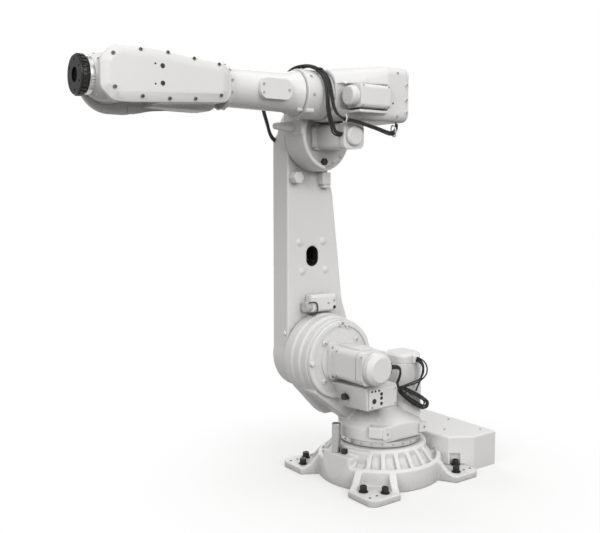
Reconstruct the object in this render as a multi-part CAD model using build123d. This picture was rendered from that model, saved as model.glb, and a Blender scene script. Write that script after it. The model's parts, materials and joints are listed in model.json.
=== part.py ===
from build123d import *
import math
import os

# Six-axis industrial robot arm, in millimetres.
# The origin is on axis 1 at floor level, +X is forward along the forearm and +Z is up.

# Clearances
running_gap = 0.3
swing_gap = 6.0

# Round base casting
bearing_r = 205.0
bearing_h = 6.7
seat_w = 45.0
seat_z = 200.0
seat_edge = 12.0
seat_drop = 10.0
cone_w = 60.0
rim_w = 23.0
rim_rise = 10.0
wall_z = 112.0
rib_count = 24
rib_t = 26.0
rib_rise = 32.0
rib_toe = 12.0
rib_skip_front = 15.0
rib_skip_rear = 58.0

# Feet of the base, with two anchor bolts each
foot_out = 55.0
foot_len = 195.0
foot_root = 60.0
foot_corner = 55.0
foot_t = 36.0
web_t = 40.0
web_in = 60.0
web_toe = 18.0
web_step = 16.0
web_drop = 4.0
bolt_inset = 58.0
bolt_spread = 79.0
bolt_hole_r = 13.0
bolt_room_r = 32.0
bolt_room_h = 64.0
box_foot_gap = 3.0
dowel_inset = 55.0
dowel_pitch = 48.0
dowel_r = 5.5

# Front trough with the stop pin of axis 1, and the shoulder beside it
trough_y0 = -95.0
trough_y1 = 52.0
trough_flare = 70.0
trough_low_z = 30.0
shelf_drop = 35.0
pin_in = 22.0
pin_y = -15.0
pin_r = 24.0
pin_h = 161.0
pin_chamfer = 3.0
pin_clear = 10.0
shoulder_w = 23.0
shoulder_drop = 5.0
shoulder_start = 11.0
shoulder_end = 38.0
base_plug_in = 18.0
base_plug_y = 34.0
base_plug_r = 19.0
base_plug_h = 24.0

# Connector box behind the base
box_front_in = 61.0
box_front_w = 270.0
box_shoulder_in = 33.0
box_shoulder_w = 466.0
box_side_out = 95.0
box_w = 624.0
box_rear_out = 275.0
box_top_z = 200.0
box_edge_r = 14.0
panel_w = 300.0
panel_h = 120.0
panel_t = 6.0
panel_z = 105.0
panel_corner = 8.0
socket_w = 74.0
socket_h = 46.0
socket_depth = 24.0
socket_edge = 6.0

# Turning frame
ring_over = 21.0
ring_t = 26.0
table_over = 6.0
table_t = 72.0
table_flat_in = 35.0
ledge_lift = 28.0
ledge_rise = 17.0
ledge_corner_x = 162.0
ledge_side_x = 204.0
ledge_side_y = 143.0
ledge_rear_x = -96.0
skirt_in = 7.0
skirt_top_r = 70.0
skirt_h = 97.0
web_y0 = -165.0
web_front_x = 168.0
web_rear_x = -205.0
web_rear_h = 20.0
web_rear_run = 70.0
web_rear_rise = 110.0
motor_pocket = 12.0
chin_x = 300.0
chin_rise = 29.0
chin_low_x = 262.0
chin_rear_x = -100.0
lug_w = 58.0
lug_h = 48.0
lug_front_x = 122.0
lug_rear_x = -140.0
lug_front_reach = 8.0
lug_rear_reach = 18.0
lug_lift = 24.0
lug_edge = 6.0
lug_hole_r = 7.0

# Axis 2
axis2_x = 263.0
axis2_z = 670.0
gear2_r = 236.0
gear2_step_r = 229.0
gear2_rim_r = 220.0
gear2_step = 72.0
gear2_rim = 58.0
gear2_y1 = -45.0
cover2_in = 8.0
cover2_t = 25.0
cover2_edge = 5.0
cover2_ring_w = 26.0
cover2_pad_r = 130.0
cover2_recess = 9.0
boss_count = 4
boss_in = 14.0
boss_r = 15.0
boss_h = 8.0
motor2_size = 172.0
motor2_corner = 34.0
motor2_y1 = 255.0
motor2_bell = 50.0
motor2_groove = 5.0
motor2_waist = 162.0
motor2_flange = 196.0
motor2_flange_t = 22.0
cap2_r = 86.0
cap2_len = 55.0
cap2_edge = 22.0
cap_edge = 8.0

# Axis 1 motor
motor1_x = -150.0
motor1_y = 20.0
motor1_size = 176.0
motor1_corner = 40.0
motor1_h = 315.0
cap1_size = 172.0
cap1_corner = 50.0
cap1_len = 56.0
cap1_edge = 16.0

# Shelf below the axis 2 motor, with its terminal plate and oil plug
shelf_x0 = 60.0
shelf_y1 = 203.0
shelf_top_z = 556.0
shelf_far_top_x = 332.0
shelf_far_low_x = 226.0
shelf_far_low_z = 400.0
shelf_near_top_x = 276.0
shelf_near_low_x = 268.0
shelf_near_low_z = 430.0
plate_margin = 8.0
plate_t = 12.0
plate_edge = 4.0
plug_r = 18.0
plug_len = 18.0
plug_y = 45.0
plug_z = 482.0

# Lower arm
axis3_x = 300.0
axis3_z = 1875.0
arm_y1 = -235.0
arm_t = 160.0
arm_edge = 22.0
hub2_r = 208.0
hub3_r = 186.0
hub3_far_r = 130.0
arm_far_t = 90.0
arm_far_drop = 20.0
arm_far_turn = 40.0
arm_front_x = 466.0
arm_foot_x = 46.0
arm_foot_z = 850.0
arm_back_low_x = 86.0
arm_back_low_z = 965.0
arm_back_high_x = 156.0
arm_back_high_drop = 315.0
arm_top_back = 60.0
arm_round = 60.0
arm_groove_y = -280.0
arm_groove = 5.0
seat2_r = 150.0
seat3_r = 140.0
oval_x = 298.0
oval_w = 77.0
oval_h = 110.0
oval_z = 1220.0
oval_depth = 110.0
oval_boss_dx = 80.0
oval_boss_dz = 80.0
oval_boss_lean = 9.0
oval_boss_r = 15.0
oval_boss_h = 9.0

# Stops on the lower arm
stop_t = 62.0
stop_edge = 12.0
low_stop_x = 258.0
low_stop_w = 176.0
low_stop_h = 98.0
bumper_r = 29.0
bumper_len = 36.0
bumper_rise = 34.0
bumper_out = 4.0
high_stop_x = 425.0
high_stop_drop = 223.0
high_stop_r = 34.0
high_stop_t = 52.0

# Elbow
hub_r = 190.0
hub_y1 = -150.0
fore_rise = 190.0
seam_x = 590.0
elbow_tube_r = 122.0
elbow_tube_x0 = 190.0
neck_back_low = 150.0
neck_back_high = 110.0
neck_front = 200.0
neck_low_x = 40.0
neck_y1 = -60.0
gear3_r = 165.0
gear3_t = 30.0
gear3_edge = 6.0
gear3_gap = 3.0
motor3_size = 134.0
motor3_drop = 12.0
motor3_flange_w = 200.0
motor3_flange_t = 18.0
motor3_corner = 30.0
motor3_y1 = 118.0
motor3_bell = 34.0
motor3_groove = 5.0
motor3_waist = 124.0
cap3_r = 52.0
cap3_len = 22.0
plug3_dx = 10.0
plug3_drop = 139.0
plug3_r = 21.0
plug3_len = 16.0

# Rear housing of the upper arm
rear_x0 = 18.0
rear_step_x = 165.0
rear_x1 = 430.0
rear_y0 = -140.0
rear_y1 = 226.0
rear_front_w = 6.0
rear_front_corner = 100.0
rear_low = 130.0
rear_high = 147.0
rear_corner = 44.0
rear_cover_t = 14.0
rear_cover_edge = 6.0
motor4_y = 190.0
motor4_drop = 13.0
motor4_size = 116.0
motor4_corner = 22.0
motor4_x1 = 360.0
motor4_room = 6.0
cap4_r = 50.0
cap4_len = 42.0

# Leads on the upper arm and on the frame
lead_r = 7.0
lead_bend = 0.45
lead_end = 45.0
axis3_lead_start = [
    (570, -130, 2162), (570, -104, 2162), (568, -66, 2193), (556, -18, 2213), (532, 30, 2212),
    (510, 76, 2190), (498, 114, 2148), (496, 137, 2096), (497, 146, 2042), (492, 144, 1990),
    (474, 134, 1945), (442, 116, 1905)]
axis4_lead_points = [
    (545, -130, 2162), (545, -104, 2162), (542, -66, 2193), (528, -18, 2213), (502, 30, 2212),
    (480, 76, 2190), (471, 114, 2148), (470, 138, 2096), (468, 150, 2042), (462, 157, 1992),
    (440, 162, 1954), (394, 162, 1939), (340, 162, 1934), (285, 162, 1926), (230, 162, 1914),
    (178, 162, 1904), (128, 162, 1891), (86, 162, 1881), (56, 162, 1889), (46, 162, 1911), (46, 162, 1935)]
hank_top = (-10, 505)
hank_low = (-232, 372)
hank_w = 76.0
hank_band = 24.0
hank_y0 = 126.0
hank_t = 36.0
hank_bracket_w = 40.0
clamp_w = 60.0
clamp_h = 34.0
clamp_t = 30.0
clamp_foot = 60.0
connector_w = 58.0
connector_h = 60.0
connector_len = 44.0
connector_in = 33.0
connector_drop = 15.0
connector_edge = 8.0
plug1_w = 48.0
plug1_h = 42.0
plug1_y1 = 124.0
plug1_x = -166.0
plug1_edge = 6.0

# Forearm tube, turned by axis 4
seam_gap = 5.0
tube_r0 = 112.0
tube_mid_r = 96.0
tube_r1 = 90.0
seat4_r = 100.0
tube_taper_x = 660.0
tube_x1 = 1000.0
cover_x = 772.0
cover_len = 180.0
cover_h = 98.0
cover_corner = 40.0
cover_t = 22.0
wrist_ring_r = 104.0
wrist_ring_t = 24.0

# Wrist housing
axis5_x = 1545.0
wrist_half = 118.0
fork_half = 98.0
throat_x = 1372.0
wrist_top = 119.0
wrist_low = 111.0
wrist_end_r = 109.0
wrist_tip = 60.0
wrist_tip_run = 54.0
wrist_top_run = 117.0
wrist_low_run = 25.0
wrist_rear_half = 86.0
wrist_rear_low = 116.0
wrist_rear_tip = 50.0
wrist_rear_run = 32.0
wrist_round = 48.0
belly_r = 146.0
belly_back = 20.0
belly_run = 60.0
side_cover_in = 20.0
side_cover_rim = 4.0
side_cover_bevel = 40.0
side_cover_rise = 18.0

# Tilt unit and tool flange
tilt_half = 92.0
tilt_r = 104.0
tilt_len = 58.0
tilt_step_r = 98.0
tilt_step = 80.0
nose_r = 70.0
nose_len = 134.0
seat5_r = 60.0
tilt_ring_r = 80.0
tilt_ring_t = 22.0
flange_r = 84.0
flange_gap = 6.0
flange_t = 34.0
flange_edge = 3.0
flange_neck_r = 56.0
flange_bolt_pcd_r = 62.5
flange_bolt_count = 6
flange_bolt_r = 5.0
flange_bolt_depth = 22.0
flange_bore_r = 31.5
flange_bore_depth = 14.0

# Worked-out places
seat_r = bearing_r + seat_w
cone_r = seat_r + seat_edge
cone_z = seat_z - seat_drop
rim_r = cone_r + cone_w
rim_z = wall_z + rim_rise
wall_r = rim_r + rim_w
bearing_z = seat_z + bearing_h
foot_reach = wall_r + foot_out
foot_start = foot_reach - foot_len
bolt_long = foot_reach - bolt_inset
bolt_short = bolt_long - bolt_spread
dowel_long = foot_reach - dowel_inset
pin_x = rim_r - pin_in
pin_z0 = seat_z - shelf_drop
pin_z1 = pin_z0 + pin_h
shoulder_r = cone_r + shoulder_w
box_front_x = box_front_in - wall_r
box_shoulder_x = box_shoulder_in - wall_r
box_side_x = -wall_r - box_side_out
box_rear_x = -wall_r - box_rear_out
ring_r = bearing_r + ring_over
ring_z0 = bearing_z + running_gap
ring_z1 = ring_z0 + ring_t
table_r = ring_r + table_over
table_z = ring_z1 + table_t
table_flat_y = table_r - table_flat_in
chin_z = pin_z1 + pin_clear
ledge_z0 = ring_z1 + ledge_lift
ledge_z1 = table_z + ledge_rise
skirt_r = table_r - skirt_in
gear2_y0 = arm_y1 + swing_gap
cover2_y1 = gear2_y1 + cover2_t
cover2_r = gear2_rim_r - cover2_in
boss_pcd_r = cover2_r - boss_in
motor1_z1 = table_z + motor1_h
motor1_face_y = motor1_y + motor1_size / 2
arm_y0 = arm_y1 - arm_t
arm_far_y = arm_y0 + arm_far_t
arm_back_high_z = axis3_z - arm_back_high_drop
low_stop_z0 = axis2_z + gear2_r + swing_gap
high_stop_z = axis3_z - high_stop_drop
elbow_y0 = arm_y1 + swing_gap
fore_z = axis3_z + fore_rise
gear3_y1 = hub_y1 + gear3_t
motor3_face_x = axis3_x + motor3_size / 2
motor3_z = axis3_z - motor3_drop
rear_z0 = fore_z - rear_low
rear_z1 = fore_z + rear_high
rear_front_half = elbow_tube_r + rear_front_w
motor4_z = fore_z - motor4_drop
wrist_tube_x0 = seam_x + seam_gap
wrist_x0 = tube_x1 + wrist_ring_t
wrist_front_x = axis5_x + wrist_end_r
nose_x1 = axis5_x + nose_len
tilt_ring_x0 = nose_x1 - tilt_ring_t
flange_x0 = nose_x1 + flange_gap
flange_x1 = flange_x0 + flange_t
connector_x1 = axis2_x - motor2_size / 2
connector_x0 = connector_x1 - connector_len
connector_y = motor2_y1 - connector_in
connector_z = axis2_z - connector_drop
hank_run = math.dist(hank_top, hank_low)
hank_dx = (hank_top[0] - hank_low[0]) / hank_run
hank_dz = (hank_top[1] - hank_low[1]) / hank_run
hank_mid = ((hank_top[0] + hank_low[0]) / 2, (hank_top[1] + hank_low[1]) / 2)
hank_side = (hank_mid[0] - hank_w / 2 * hank_dz, hank_mid[1] + hank_w / 2 * hank_dx)
hank_y = hank_y0 + hank_t / 2
axis3_lead_points = axis3_lead_start + [
    (motor3_face_x + lead_end, 98, motor3_z), (motor3_face_x, 98, motor3_z)]
axis2_lead_points = [
    (connector_x0, connector_y, connector_z), (connector_x0 - lead_end, connector_y, connector_z),
    (64, 214, 630), (56, 190, 582),
    (hank_top[0] + lead_end * hank_dx, hank_y, hank_top[1] + lead_end * hank_dz),
    (hank_top[0], hank_y, hank_top[1])]
axis1_lead_points = [
    (plug1_x, plug1_y1, motor1_z1 + plug1_h / 2), (plug1_x, 152, motor1_z1 + plug1_h / 2), (-176, 166, 606),
    (-174, 160, 560), (hank_side[0] - lead_end * hank_dz, hank_y, hank_side[1] + lead_end * hank_dx),
    (hank_side[0], hank_y, hank_side[1])]

LOW = (Align.CENTER, Align.CENTER, Align.MIN)


# Helpers for round bars and for prisms along each axis
def disc_z(r, z0, z1, x=0.0, y=0.0):
    return Pos(x, y, z0) * Cylinder(r, z1 - z0, align=LOW)


def disc_y(r, y0, y1, x, z):
    return Pos(x, y0, z) * Rot(-90, 0, 0) * Cylinder(r, y1 - y0, align=LOW)


def disc_x(r, x0, x1, y, z):
    return Pos(x0, y, z) * Rot(0, 90, 0) * Cylinder(r, x1 - x0, align=LOW)


def block(x0, x1, y0, y1, z0, z1):
    size = (x1 - x0, y1 - y0, z1 - z0)
    return Pos(x0, y0, z0) * Box(*size, align=(Align.MIN, Align.MIN, Align.MIN))


def outline(*points):
    return make_face(Polyline(*points, close=True))


def prism_x(sketch, x0, x1):
    front = Plane(origin=(x0, 0, 0), x_dir=(0, 1, 0), z_dir=(1, 0, 0))
    return extrude(front * sketch, x1 - x0)


def prism_y(sketch, y0, y1):
    side = Plane(origin=(0, y1, 0), x_dir=(1, 0, 0), z_dir=(0, -1, 0))
    return extrude(side * sketch, y1 - y0)


def prism_z(sketch, z0, z1):
    return extrude(Pos(0, 0, z0) * sketch, z1 - z0)


def soft_square(size, corner):
    return RectangleRounded(size, size, corner)


def one(part):
    solids = part.solids()
    if len(solids) == 1:
        return solids[0]
    return Compound(children=list(solids))


# Base
def base_body():
    with BuildPart() as body:
        with BuildSketch(Plane.XZ):
            with BuildLine():
                Polyline(
                    (0, 0), (wall_r, 0), (wall_r, wall_z), (rim_r, rim_z),
                    (rim_r - rib_toe, rim_z - rib_rise), (cone_r, cone_z - rib_rise), (cone_r, cone_z),
                    (seat_r, seat_z), (bearing_r, seat_z), (bearing_r, bearing_z), (0, bearing_z), close=True)
            make_face()
        revolve(axis=Axis.Z)
    return Rot(0, 0, 180) * body.part


def base_rib():
    root = rim_z - 2 * rib_rise
    toe_r = rim_r - rib_toe / 2
    side = outline((seat_r, root), (toe_r, root), (toe_r, rim_z), (cone_r, cone_z), (seat_r, cone_z))
    return prism_y(side, -rib_t / 2, rib_t / 2)


def rib_angles():
    step = 360.0 / rib_count
    angles = [step * (i + 0.5) for i in range(rib_count)]
    front_clear = [a for a in angles if min(a, 360 - a) > rib_skip_front]
    return [a for a in front_clear if abs(a - 180) > rib_skip_rear]


def foot_outline():
    root = foot_start - foot_root
    plan = outline((root, root), (foot_reach, foot_start), (foot_reach, foot_reach), (foot_start, foot_reach))
    return fillet(plan.vertices().sort_by_distance((0, 0, 0))[-1], foot_corner)


def foot_web(turn):
    reach = math.hypot(foot_reach, foot_start) - web_toe
    top = wall_z - web_drop
    side = outline((wall_r - web_in, 0), (reach, 0), (reach, foot_t),
                   (reach - 2 * web_toe, foot_t + web_step), (wall_r + web_drop, top), (wall_r - web_in, top))
    return Rot(0, 0, turn) * prism_y(side, -web_t / 2, web_t / 2)


def base_foot():
    edge_turn = math.degrees(math.atan2(foot_start, foot_reach))
    inset = math.degrees(math.atan2(web_t / 2, foot_reach))
    foot = prism_z(foot_outline(), 0, foot_t)
    return foot + foot_web(edge_turn + inset) + foot_web(90 - edge_turn - inset)


def anchor_points():
    near = [(sx * bolt_long, sy * bolt_short) for sx in (1, -1) for sy in (1, -1)]
    far = [(sx * bolt_short, sy * bolt_long) for sx in (1, -1) for sy in (1, -1)]
    return near + far


def dowel_points():
    offsets = (-dowel_pitch / 2, dowel_pitch / 2)
    return [(sx * (dowel_long + d), sy * dowel_long) for sx in (1, -1) for sy in (1, -1) for d in offsets]


def trough():
    mouth = wall_r + running_gap
    ramp = outline((cone_r, pin_z0), (pin_x + pin_r, pin_z0), (wall_r, trough_low_z), (mouth, trough_low_z),
                   (mouth, seat_z), (cone_r, seat_z))
    plan = outline((seat_r, trough_y0), (mouth, trough_y0), (mouth, trough_y1 + trough_flare),
                   (rim_r, trough_y1), (seat_r, trough_y1))
    return prism_y(ramp, trough_y0, trough_y1 + trough_flare) & prism_z(plan, trough_low_z, seat_z)


def trough_floor():
    ramp = outline((seat_r, trough_low_z), (seat_r, pin_z0), (pin_x + pin_r, pin_z0), (wall_r, trough_low_z))
    return prism_y(ramp, trough_y0, trough_y1 + trough_flare) & disc_z(wall_r, 0, seat_z)


def trough_shoulder():
    turns = [math.radians(a) for a in (shoulder_start, shoulder_end)]
    wedge = outline((0, 0), *[(wall_r * math.cos(a), wall_r * math.sin(a)) for a in turns])
    return prism_z(wedge & (Circle(shoulder_r) - Circle(bearing_r)), wall_z, seat_z - shoulder_drop)


def base_casting():
    body = base_body()
    body += [Rot(0, 0, a) * base_rib() for a in rib_angles()]
    foot = base_foot()
    body += [Rot(0, 0, 90.0 * i) * foot for i in range(4)]
    body += trough_shoulder()
    body -= trough()
    body += trough_floor()
    body -= [disc_z(bolt_hole_r, -1, foot_t + 1, x, y) for x, y in anchor_points()]
    body -= [disc_z(dowel_r, -1, foot_t + 1, x, y) for x, y in dowel_points()]
    return body


def stop_pin():
    pin = disc_z(pin_r, pin_z0, pin_z1, pin_x, pin_y)
    return chamfer(pin.faces().sort_by(Axis.Z)[-1].edges(), pin_chamfer)


def base_plug():
    hexagon = Pos(pin_x - base_plug_in, base_plug_y) * RegularPolygon(base_plug_r, 6)
    plug = prism_z(hexagon, pin_z0, pin_z0 + base_plug_h)
    return chamfer(plug.faces().sort_by(Axis.Z)[-1].edges(), pin_chamfer)


def box_outline():
    half = [(box_front_x, box_front_w / 2), (box_shoulder_x, box_shoulder_w / 2), (box_side_x, box_w / 2),
            (box_rear_x, box_w / 2)]
    return outline(*half, *[(x, -y) for x, y in reversed(half)])


def connector_box():
    box = prism_z(box_outline(), 0, box_top_z)
    box = fillet(box.faces().sort_by(Axis.Z)[-1].edges(), box_edge_r)
    box -= base_body()
    foot = prism_z(foot_outline(), -1, foot_t + box_foot_gap) + base_foot()
    box -= [Rot(0, 0, 90.0 * i) * foot for i in (1, 2)]
    box -= [disc_z(bolt_room_r, 0, foot_t + bolt_room_h, x, y) for x, y in anchor_points() if x < 0]
    return box.solids().sort_by(SortBy.VOLUME)[-1]


def connector_panel():
    plate = block(box_rear_x - panel_t, box_rear_x, -panel_w / 2, panel_w / 2, panel_z - panel_h / 2,
                  panel_z + panel_h / 2)
    plate = chamfer(plate.edges().filter_by(Axis.X), panel_corner)
    for y in (-panel_w / 4, panel_w / 4):
        hood = block(box_rear_x - socket_depth, box_rear_x - panel_t, y - socket_w / 2, y + socket_w / 2,
                     panel_z - socket_h / 2, panel_z + socket_h / 2)
        plate += chamfer(hood.faces().sort_by(Axis.X)[0].edges(), socket_edge)
    return plate


# Turning frame
def turntable_ring():
    return disc_z(ring_r, ring_z0, ring_z1)


def frame_back():
    return [(axis2_x - gear2_rim_r, axis2_z - gear2_step), (axis2_x, axis2_z)]


def frame_web():
    lean = gear2_r / math.sqrt(2)
    side = outline((web_rear_x, ring_z1), (web_rear_x, table_z + web_rear_h),
                   (web_rear_x + web_rear_run, table_z + web_rear_h + web_rear_rise), *frame_back(),
                   (axis2_x + lean, axis2_z - lean), (web_front_x, table_z), (web_front_x, ring_z1))
    pocket_x = motor1_x + motor1_size / 2 + motor_pocket
    pocket_y = motor1_y - motor1_size / 2 - motor_pocket
    pocket = block(web_rear_x, pocket_x, pocket_y, gear2_y1, table_z, axis2_z)
    return prism_y(side, web_y0, gear2_y1) - pocket


def frame_chin():
    lean = gear2_r / math.sqrt(2)
    side = outline((chin_rear_x, chin_z), (chin_rear_x, chin_z + chin_rise), *frame_back(),
                   (axis2_x + lean, axis2_z - lean), (chin_x, chin_z + chin_rise), (chin_low_x, chin_z))
    return prism_y(side, gear2_y0, web_y0)


def frame_shelf():
    far = outline((shelf_x0, shelf_top_z), (shelf_far_top_x, shelf_top_z), (shelf_far_low_x, shelf_far_low_z),
                  (shelf_x0, shelf_far_low_z))
    near = outline((shelf_x0, shelf_top_z), (shelf_near_top_x, shelf_top_z),
                   (shelf_near_low_x, shelf_near_low_z), (shelf_x0, shelf_near_low_z))
    ends = [Plane(origin=(0, y, 0), x_dir=(1, 0, 0), z_dir=(0, -1, 0)) * face
            for y, face in ((gear2_y1, far), (shelf_y1, near))]
    return loft(ends, ruled=True)


def frame_cradle():
    step_y = gear2_y0 + gear2_step
    rim_y = step_y + gear2_rim
    cradle = disc_y(gear2_r, gear2_y0, step_y, axis2_x, axis2_z)
    cradle += disc_y(gear2_step_r, step_y, rim_y, axis2_x, axis2_z)
    return cradle + disc_y(gear2_rim_r, rim_y, gear2_y1, axis2_x, axis2_z)


def frame_table():
    table = disc_z(table_r, ring_z1, table_z)
    table -= block(-table_r, table_r, table_flat_y, table_r, ring_z1, table_z)
    ledge = outline((0, 0), (ledge_side_x, ledge_side_y), (ledge_corner_x, table_flat_y),
                    (ledge_rear_x, table_flat_y))
    return table + prism_z(ledge, ledge_z0, ledge_z1)


def frame_skirt():
    skirt = Pos(0, 0, table_z) * Cone(skirt_r, skirt_top_r, skirt_h, align=LOW)
    return skirt - block(-skirt_r, skirt_r, table_flat_y, skirt_r, table_z, table_z + skirt_h)


def frame_casting():
    body = frame_table() + frame_skirt() + frame_web() + frame_chin() + frame_cradle() + frame_shelf()
    return body - axis1_motor()


def lifting_lug(x, reach):
    z0 = ring_z1 + lug_lift
    lug = block(x - lug_w / 2, x + lug_w / 2, 0, table_flat_y + reach, z0, z0 + lug_h)
    lug = chamfer(lug.edges().filter_by(Axis.Z).sort_by(Axis.Y)[-2:], lug_edge)
    lug -= disc_y(lug_hole_r, table_flat_y, table_flat_y + reach, x, z0 + lug_h / 2)
    return (lug - frame_table()).solids().sort_by(Axis.Y)[-1]


def lifting_lugs():
    front = lifting_lug(lug_front_x, lug_front_reach)
    rear = lifting_lug(lug_rear_x, lug_rear_reach)
    return Compound(children=[front, rear])


def axis2_gear_cover():
    cover = disc_y(cover2_r, gear2_y1, cover2_y1, axis2_x, axis2_z)
    cover = chamfer(cover.faces().sort_by(Axis.Y)[-1].edges(), cover2_edge)
    groove = Circle(cover2_r - cover2_ring_w) - Circle(cover2_pad_r)
    cover -= prism_y(Pos(axis2_x, axis2_z) * groove, cover2_y1 - cover2_recess, cover2_y1)
    for place in PolarLocations(boss_pcd_r, boss_count):
        x, z = place.position.X, place.position.Y
        cover += disc_y(boss_r, gear2_y1, cover2_y1 + boss_h, axis2_x + x, axis2_z + z)
    return (cover - frame_shelf()).solids().sort_by(SortBy.VOLUME)[-1]


def square_y(x, z, size, corner, y0, y1):
    return prism_y(Pos(x, z) * soft_square(size, corner), y0, y1)


def axis2_motor():
    bell_y = motor2_y1 - motor2_bell
    groove_y = bell_y - motor2_groove
    motor = square_y(axis2_x, axis2_z, motor2_flange, motor2_corner, cover2_y1, cover2_y1 + motor2_flange_t)
    motor += square_y(axis2_x, axis2_z, motor2_size, motor2_corner, cover2_y1, groove_y)
    motor += square_y(axis2_x, axis2_z, motor2_waist, motor2_corner, groove_y, bell_y)
    return motor + square_y(axis2_x, axis2_z, motor2_size, motor2_corner, bell_y, motor2_y1)


def axis2_motor_cap():
    cap = disc_y(cap2_r, motor2_y1, motor2_y1 + cap2_len, axis2_x, axis2_z)
    return chamfer(cap.faces().sort_by(Axis.Y)[-1].edges(), cap2_edge)


def axis1_motor():
    return prism_z(Pos(motor1_x, motor1_y) * soft_square(motor1_size, motor1_corner), table_z, motor1_z1)


def axis1_motor_cap():
    square = Pos(motor1_x, motor1_y) * soft_square(cap1_size, cap1_corner)
    cap = prism_z(square, motor1_z1, motor1_z1 + cap1_len)
    return chamfer(cap.faces().sort_by(Axis.Z)[-1].edges(), cap1_edge)


def terminal_plate():
    plate = block(shelf_x0 + plate_margin, shelf_near_low_x - plate_margin, shelf_y1, shelf_y1 + plate_t,
                  shelf_near_low_z + plate_margin, shelf_top_z - plate_margin)
    return chamfer(plate.faces().sort_by(Axis.Y)[-1].edges(), plate_edge)


def frame_oil_plug():
    stem = disc_x(plug_r, shelf_x0, shelf_far_top_x, plug_y, plug_z) - frame_shelf()
    seat_x = stem.bounding_box().min.X
    room = disc_x(2 * plug_r, seat_x, seat_x + 2 * plug_len, plug_y, plug_z)
    return stem.solids().sort_by(Axis.X)[-1] & room


# Lower arm
def arm_side(top_r, *top):
    spine = outline((arm_front_x, axis2_z), *top, (axis3_x - arm_top_back, axis3_z),
                    (arm_back_high_x, arm_back_high_z), (arm_back_low_x, arm_back_low_z),
                    (arm_foot_x, arm_foot_z), (axis2_x - hub2_r, axis2_z))
    bends = spine.vertices().filter_by_position(Axis.Y, arm_foot_z, arm_back_high_z)
    spine = fillet(bends, arm_round)
    return spine + Pos(axis2_x, axis2_z) * Circle(hub2_r) + Pos(axis3_x, axis3_z) * Circle(top_r)


def lower_arm_casting():
    turn = math.radians(arm_far_turn)
    slope = (axis3_x + hub3_far_r * math.cos(turn), axis3_z + hub3_far_r * math.sin(turn))
    far_side = arm_side(hub3_far_r, (arm_front_x, axis3_z - arm_far_drop), slope)
    arm = prism_y(far_side, arm_y0, arm_far_y)
    arm = chamfer(arm.faces().sort_by(Axis.Y)[0].edges(), arm_edge)
    arm += prism_y(arm_side(hub3_r, (arm_front_x, axis3_z)), arm_far_y, arm_y1)
    arm -= block(arm_front_x - arm_groove, arm_front_x, arm_groove_y, arm_groove_y + arm_groove,
                 axis2_z + hub2_r, axis3_z - hub3_r)
    slot = Pos(oval_x, oval_z) * Rot(0, 0, 90) * SlotOverall(oval_h, oval_w)
    arm -= prism_y(slot, arm_y1 - oval_depth, arm_y1)
    arm += disc_y(seat2_r, arm_y1, gear2_y0 - running_gap, axis2_x, axis2_z)
    arm += disc_y(seat3_r, arm_y1, elbow_y0 - running_gap, axis3_x, axis3_z)
    for side_x in (-1, 1):
        for side_z in (-1, 1):
            x = oval_x + side_x * oval_boss_dx + side_z * oval_boss_lean
            arm += disc_y(oval_boss_r, arm_y1, arm_y1 + oval_boss_h, x, oval_z + side_z * oval_boss_dz)
    return arm


def lower_stop_block():
    stop = block(low_stop_x - low_stop_w / 2, low_stop_x + low_stop_w / 2, arm_y1, arm_y1 + stop_t,
                 low_stop_z0, low_stop_z0 + low_stop_h)
    return chamfer(stop.faces().sort_by(Axis.Y)[-1].edges(), stop_edge)


def lower_stop_bumper():
    x1 = low_stop_x + low_stop_w / 2
    return disc_x(bumper_r, x1, x1 + bumper_len, arm_y1 + stop_t / 2 + bumper_out, low_stop_z0 + bumper_rise)


def upper_stop_block():
    hexagon = Pos(high_stop_x, high_stop_z) * RegularPolygon(high_stop_r, 6)
    return prism_y(hexagon, arm_y1, arm_y1 + high_stop_t)


# Elbow and rear housing
def elbow_casting():
    front_x = axis3_x + neck_front
    body = disc_y(hub_r, elbow_y0, hub_y1, axis3_x, axis3_z)
    neck = outline((axis3_x - neck_back_low, axis3_z), (axis3_x - neck_back_high, fore_z), (front_x, fore_z),
                   (front_x, axis3_z))
    body += prism_y(neck, elbow_y0, neck_y1)
    wall = disc_y(hub_r, hub_y1, neck_y1, axis3_x, axis3_z)
    body += wall & block(axis3_x + neck_low_x, front_x, hub_y1, neck_y1, axis3_z - hub_r, axis3_z)
    body -= disc_y(gear3_r + gear3_gap, hub_y1, neck_y1, axis3_x, axis3_z)
    return body + disc_x(elbow_tube_r, elbow_tube_x0, seam_x, 0, fore_z)


def axis3_gear_housing():
    gear = disc_y(gear3_r, hub_y1, gear3_y1, axis3_x, axis3_z)
    return chamfer(gear.faces().sort_by(Axis.Y)[-1].edges(), gear3_edge)


def elbow_oil_plug():
    place = Pos(axis3_x + plug3_dx, axis3_z - plug3_drop)
    plug = prism_y(place * RegularPolygon(plug3_r, 6), gear3_y1, gear3_y1 + plug3_len)
    return chamfer(plug.faces().sort_by(Axis.Y)[-1].edges(), pin_chamfer)


def axis3_motor():
    bell_y = motor3_y1 - motor3_bell
    groove_y = bell_y - motor3_groove
    flange = Pos(axis3_x, motor3_z) * RectangleRounded(motor3_flange_w, motor3_size, motor3_corner)
    motor = prism_y(flange, gear3_y1, gear3_y1 + motor3_flange_t)
    motor += square_y(axis3_x, motor3_z, motor3_size, motor3_corner, gear3_y1, groove_y)
    motor += square_y(axis3_x, motor3_z, motor3_waist, motor3_corner, groove_y, bell_y)
    return motor + square_y(axis3_x, motor3_z, motor3_size, motor3_corner, bell_y, motor3_y1)


def axis3_motor_cap():
    cap = disc_y(cap3_r, motor3_y1, motor3_y1 + cap3_len, axis3_x, motor3_z)
    return chamfer(cap.faces().sort_by(Axis.Y)[-1].edges(), cap_edge)


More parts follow.
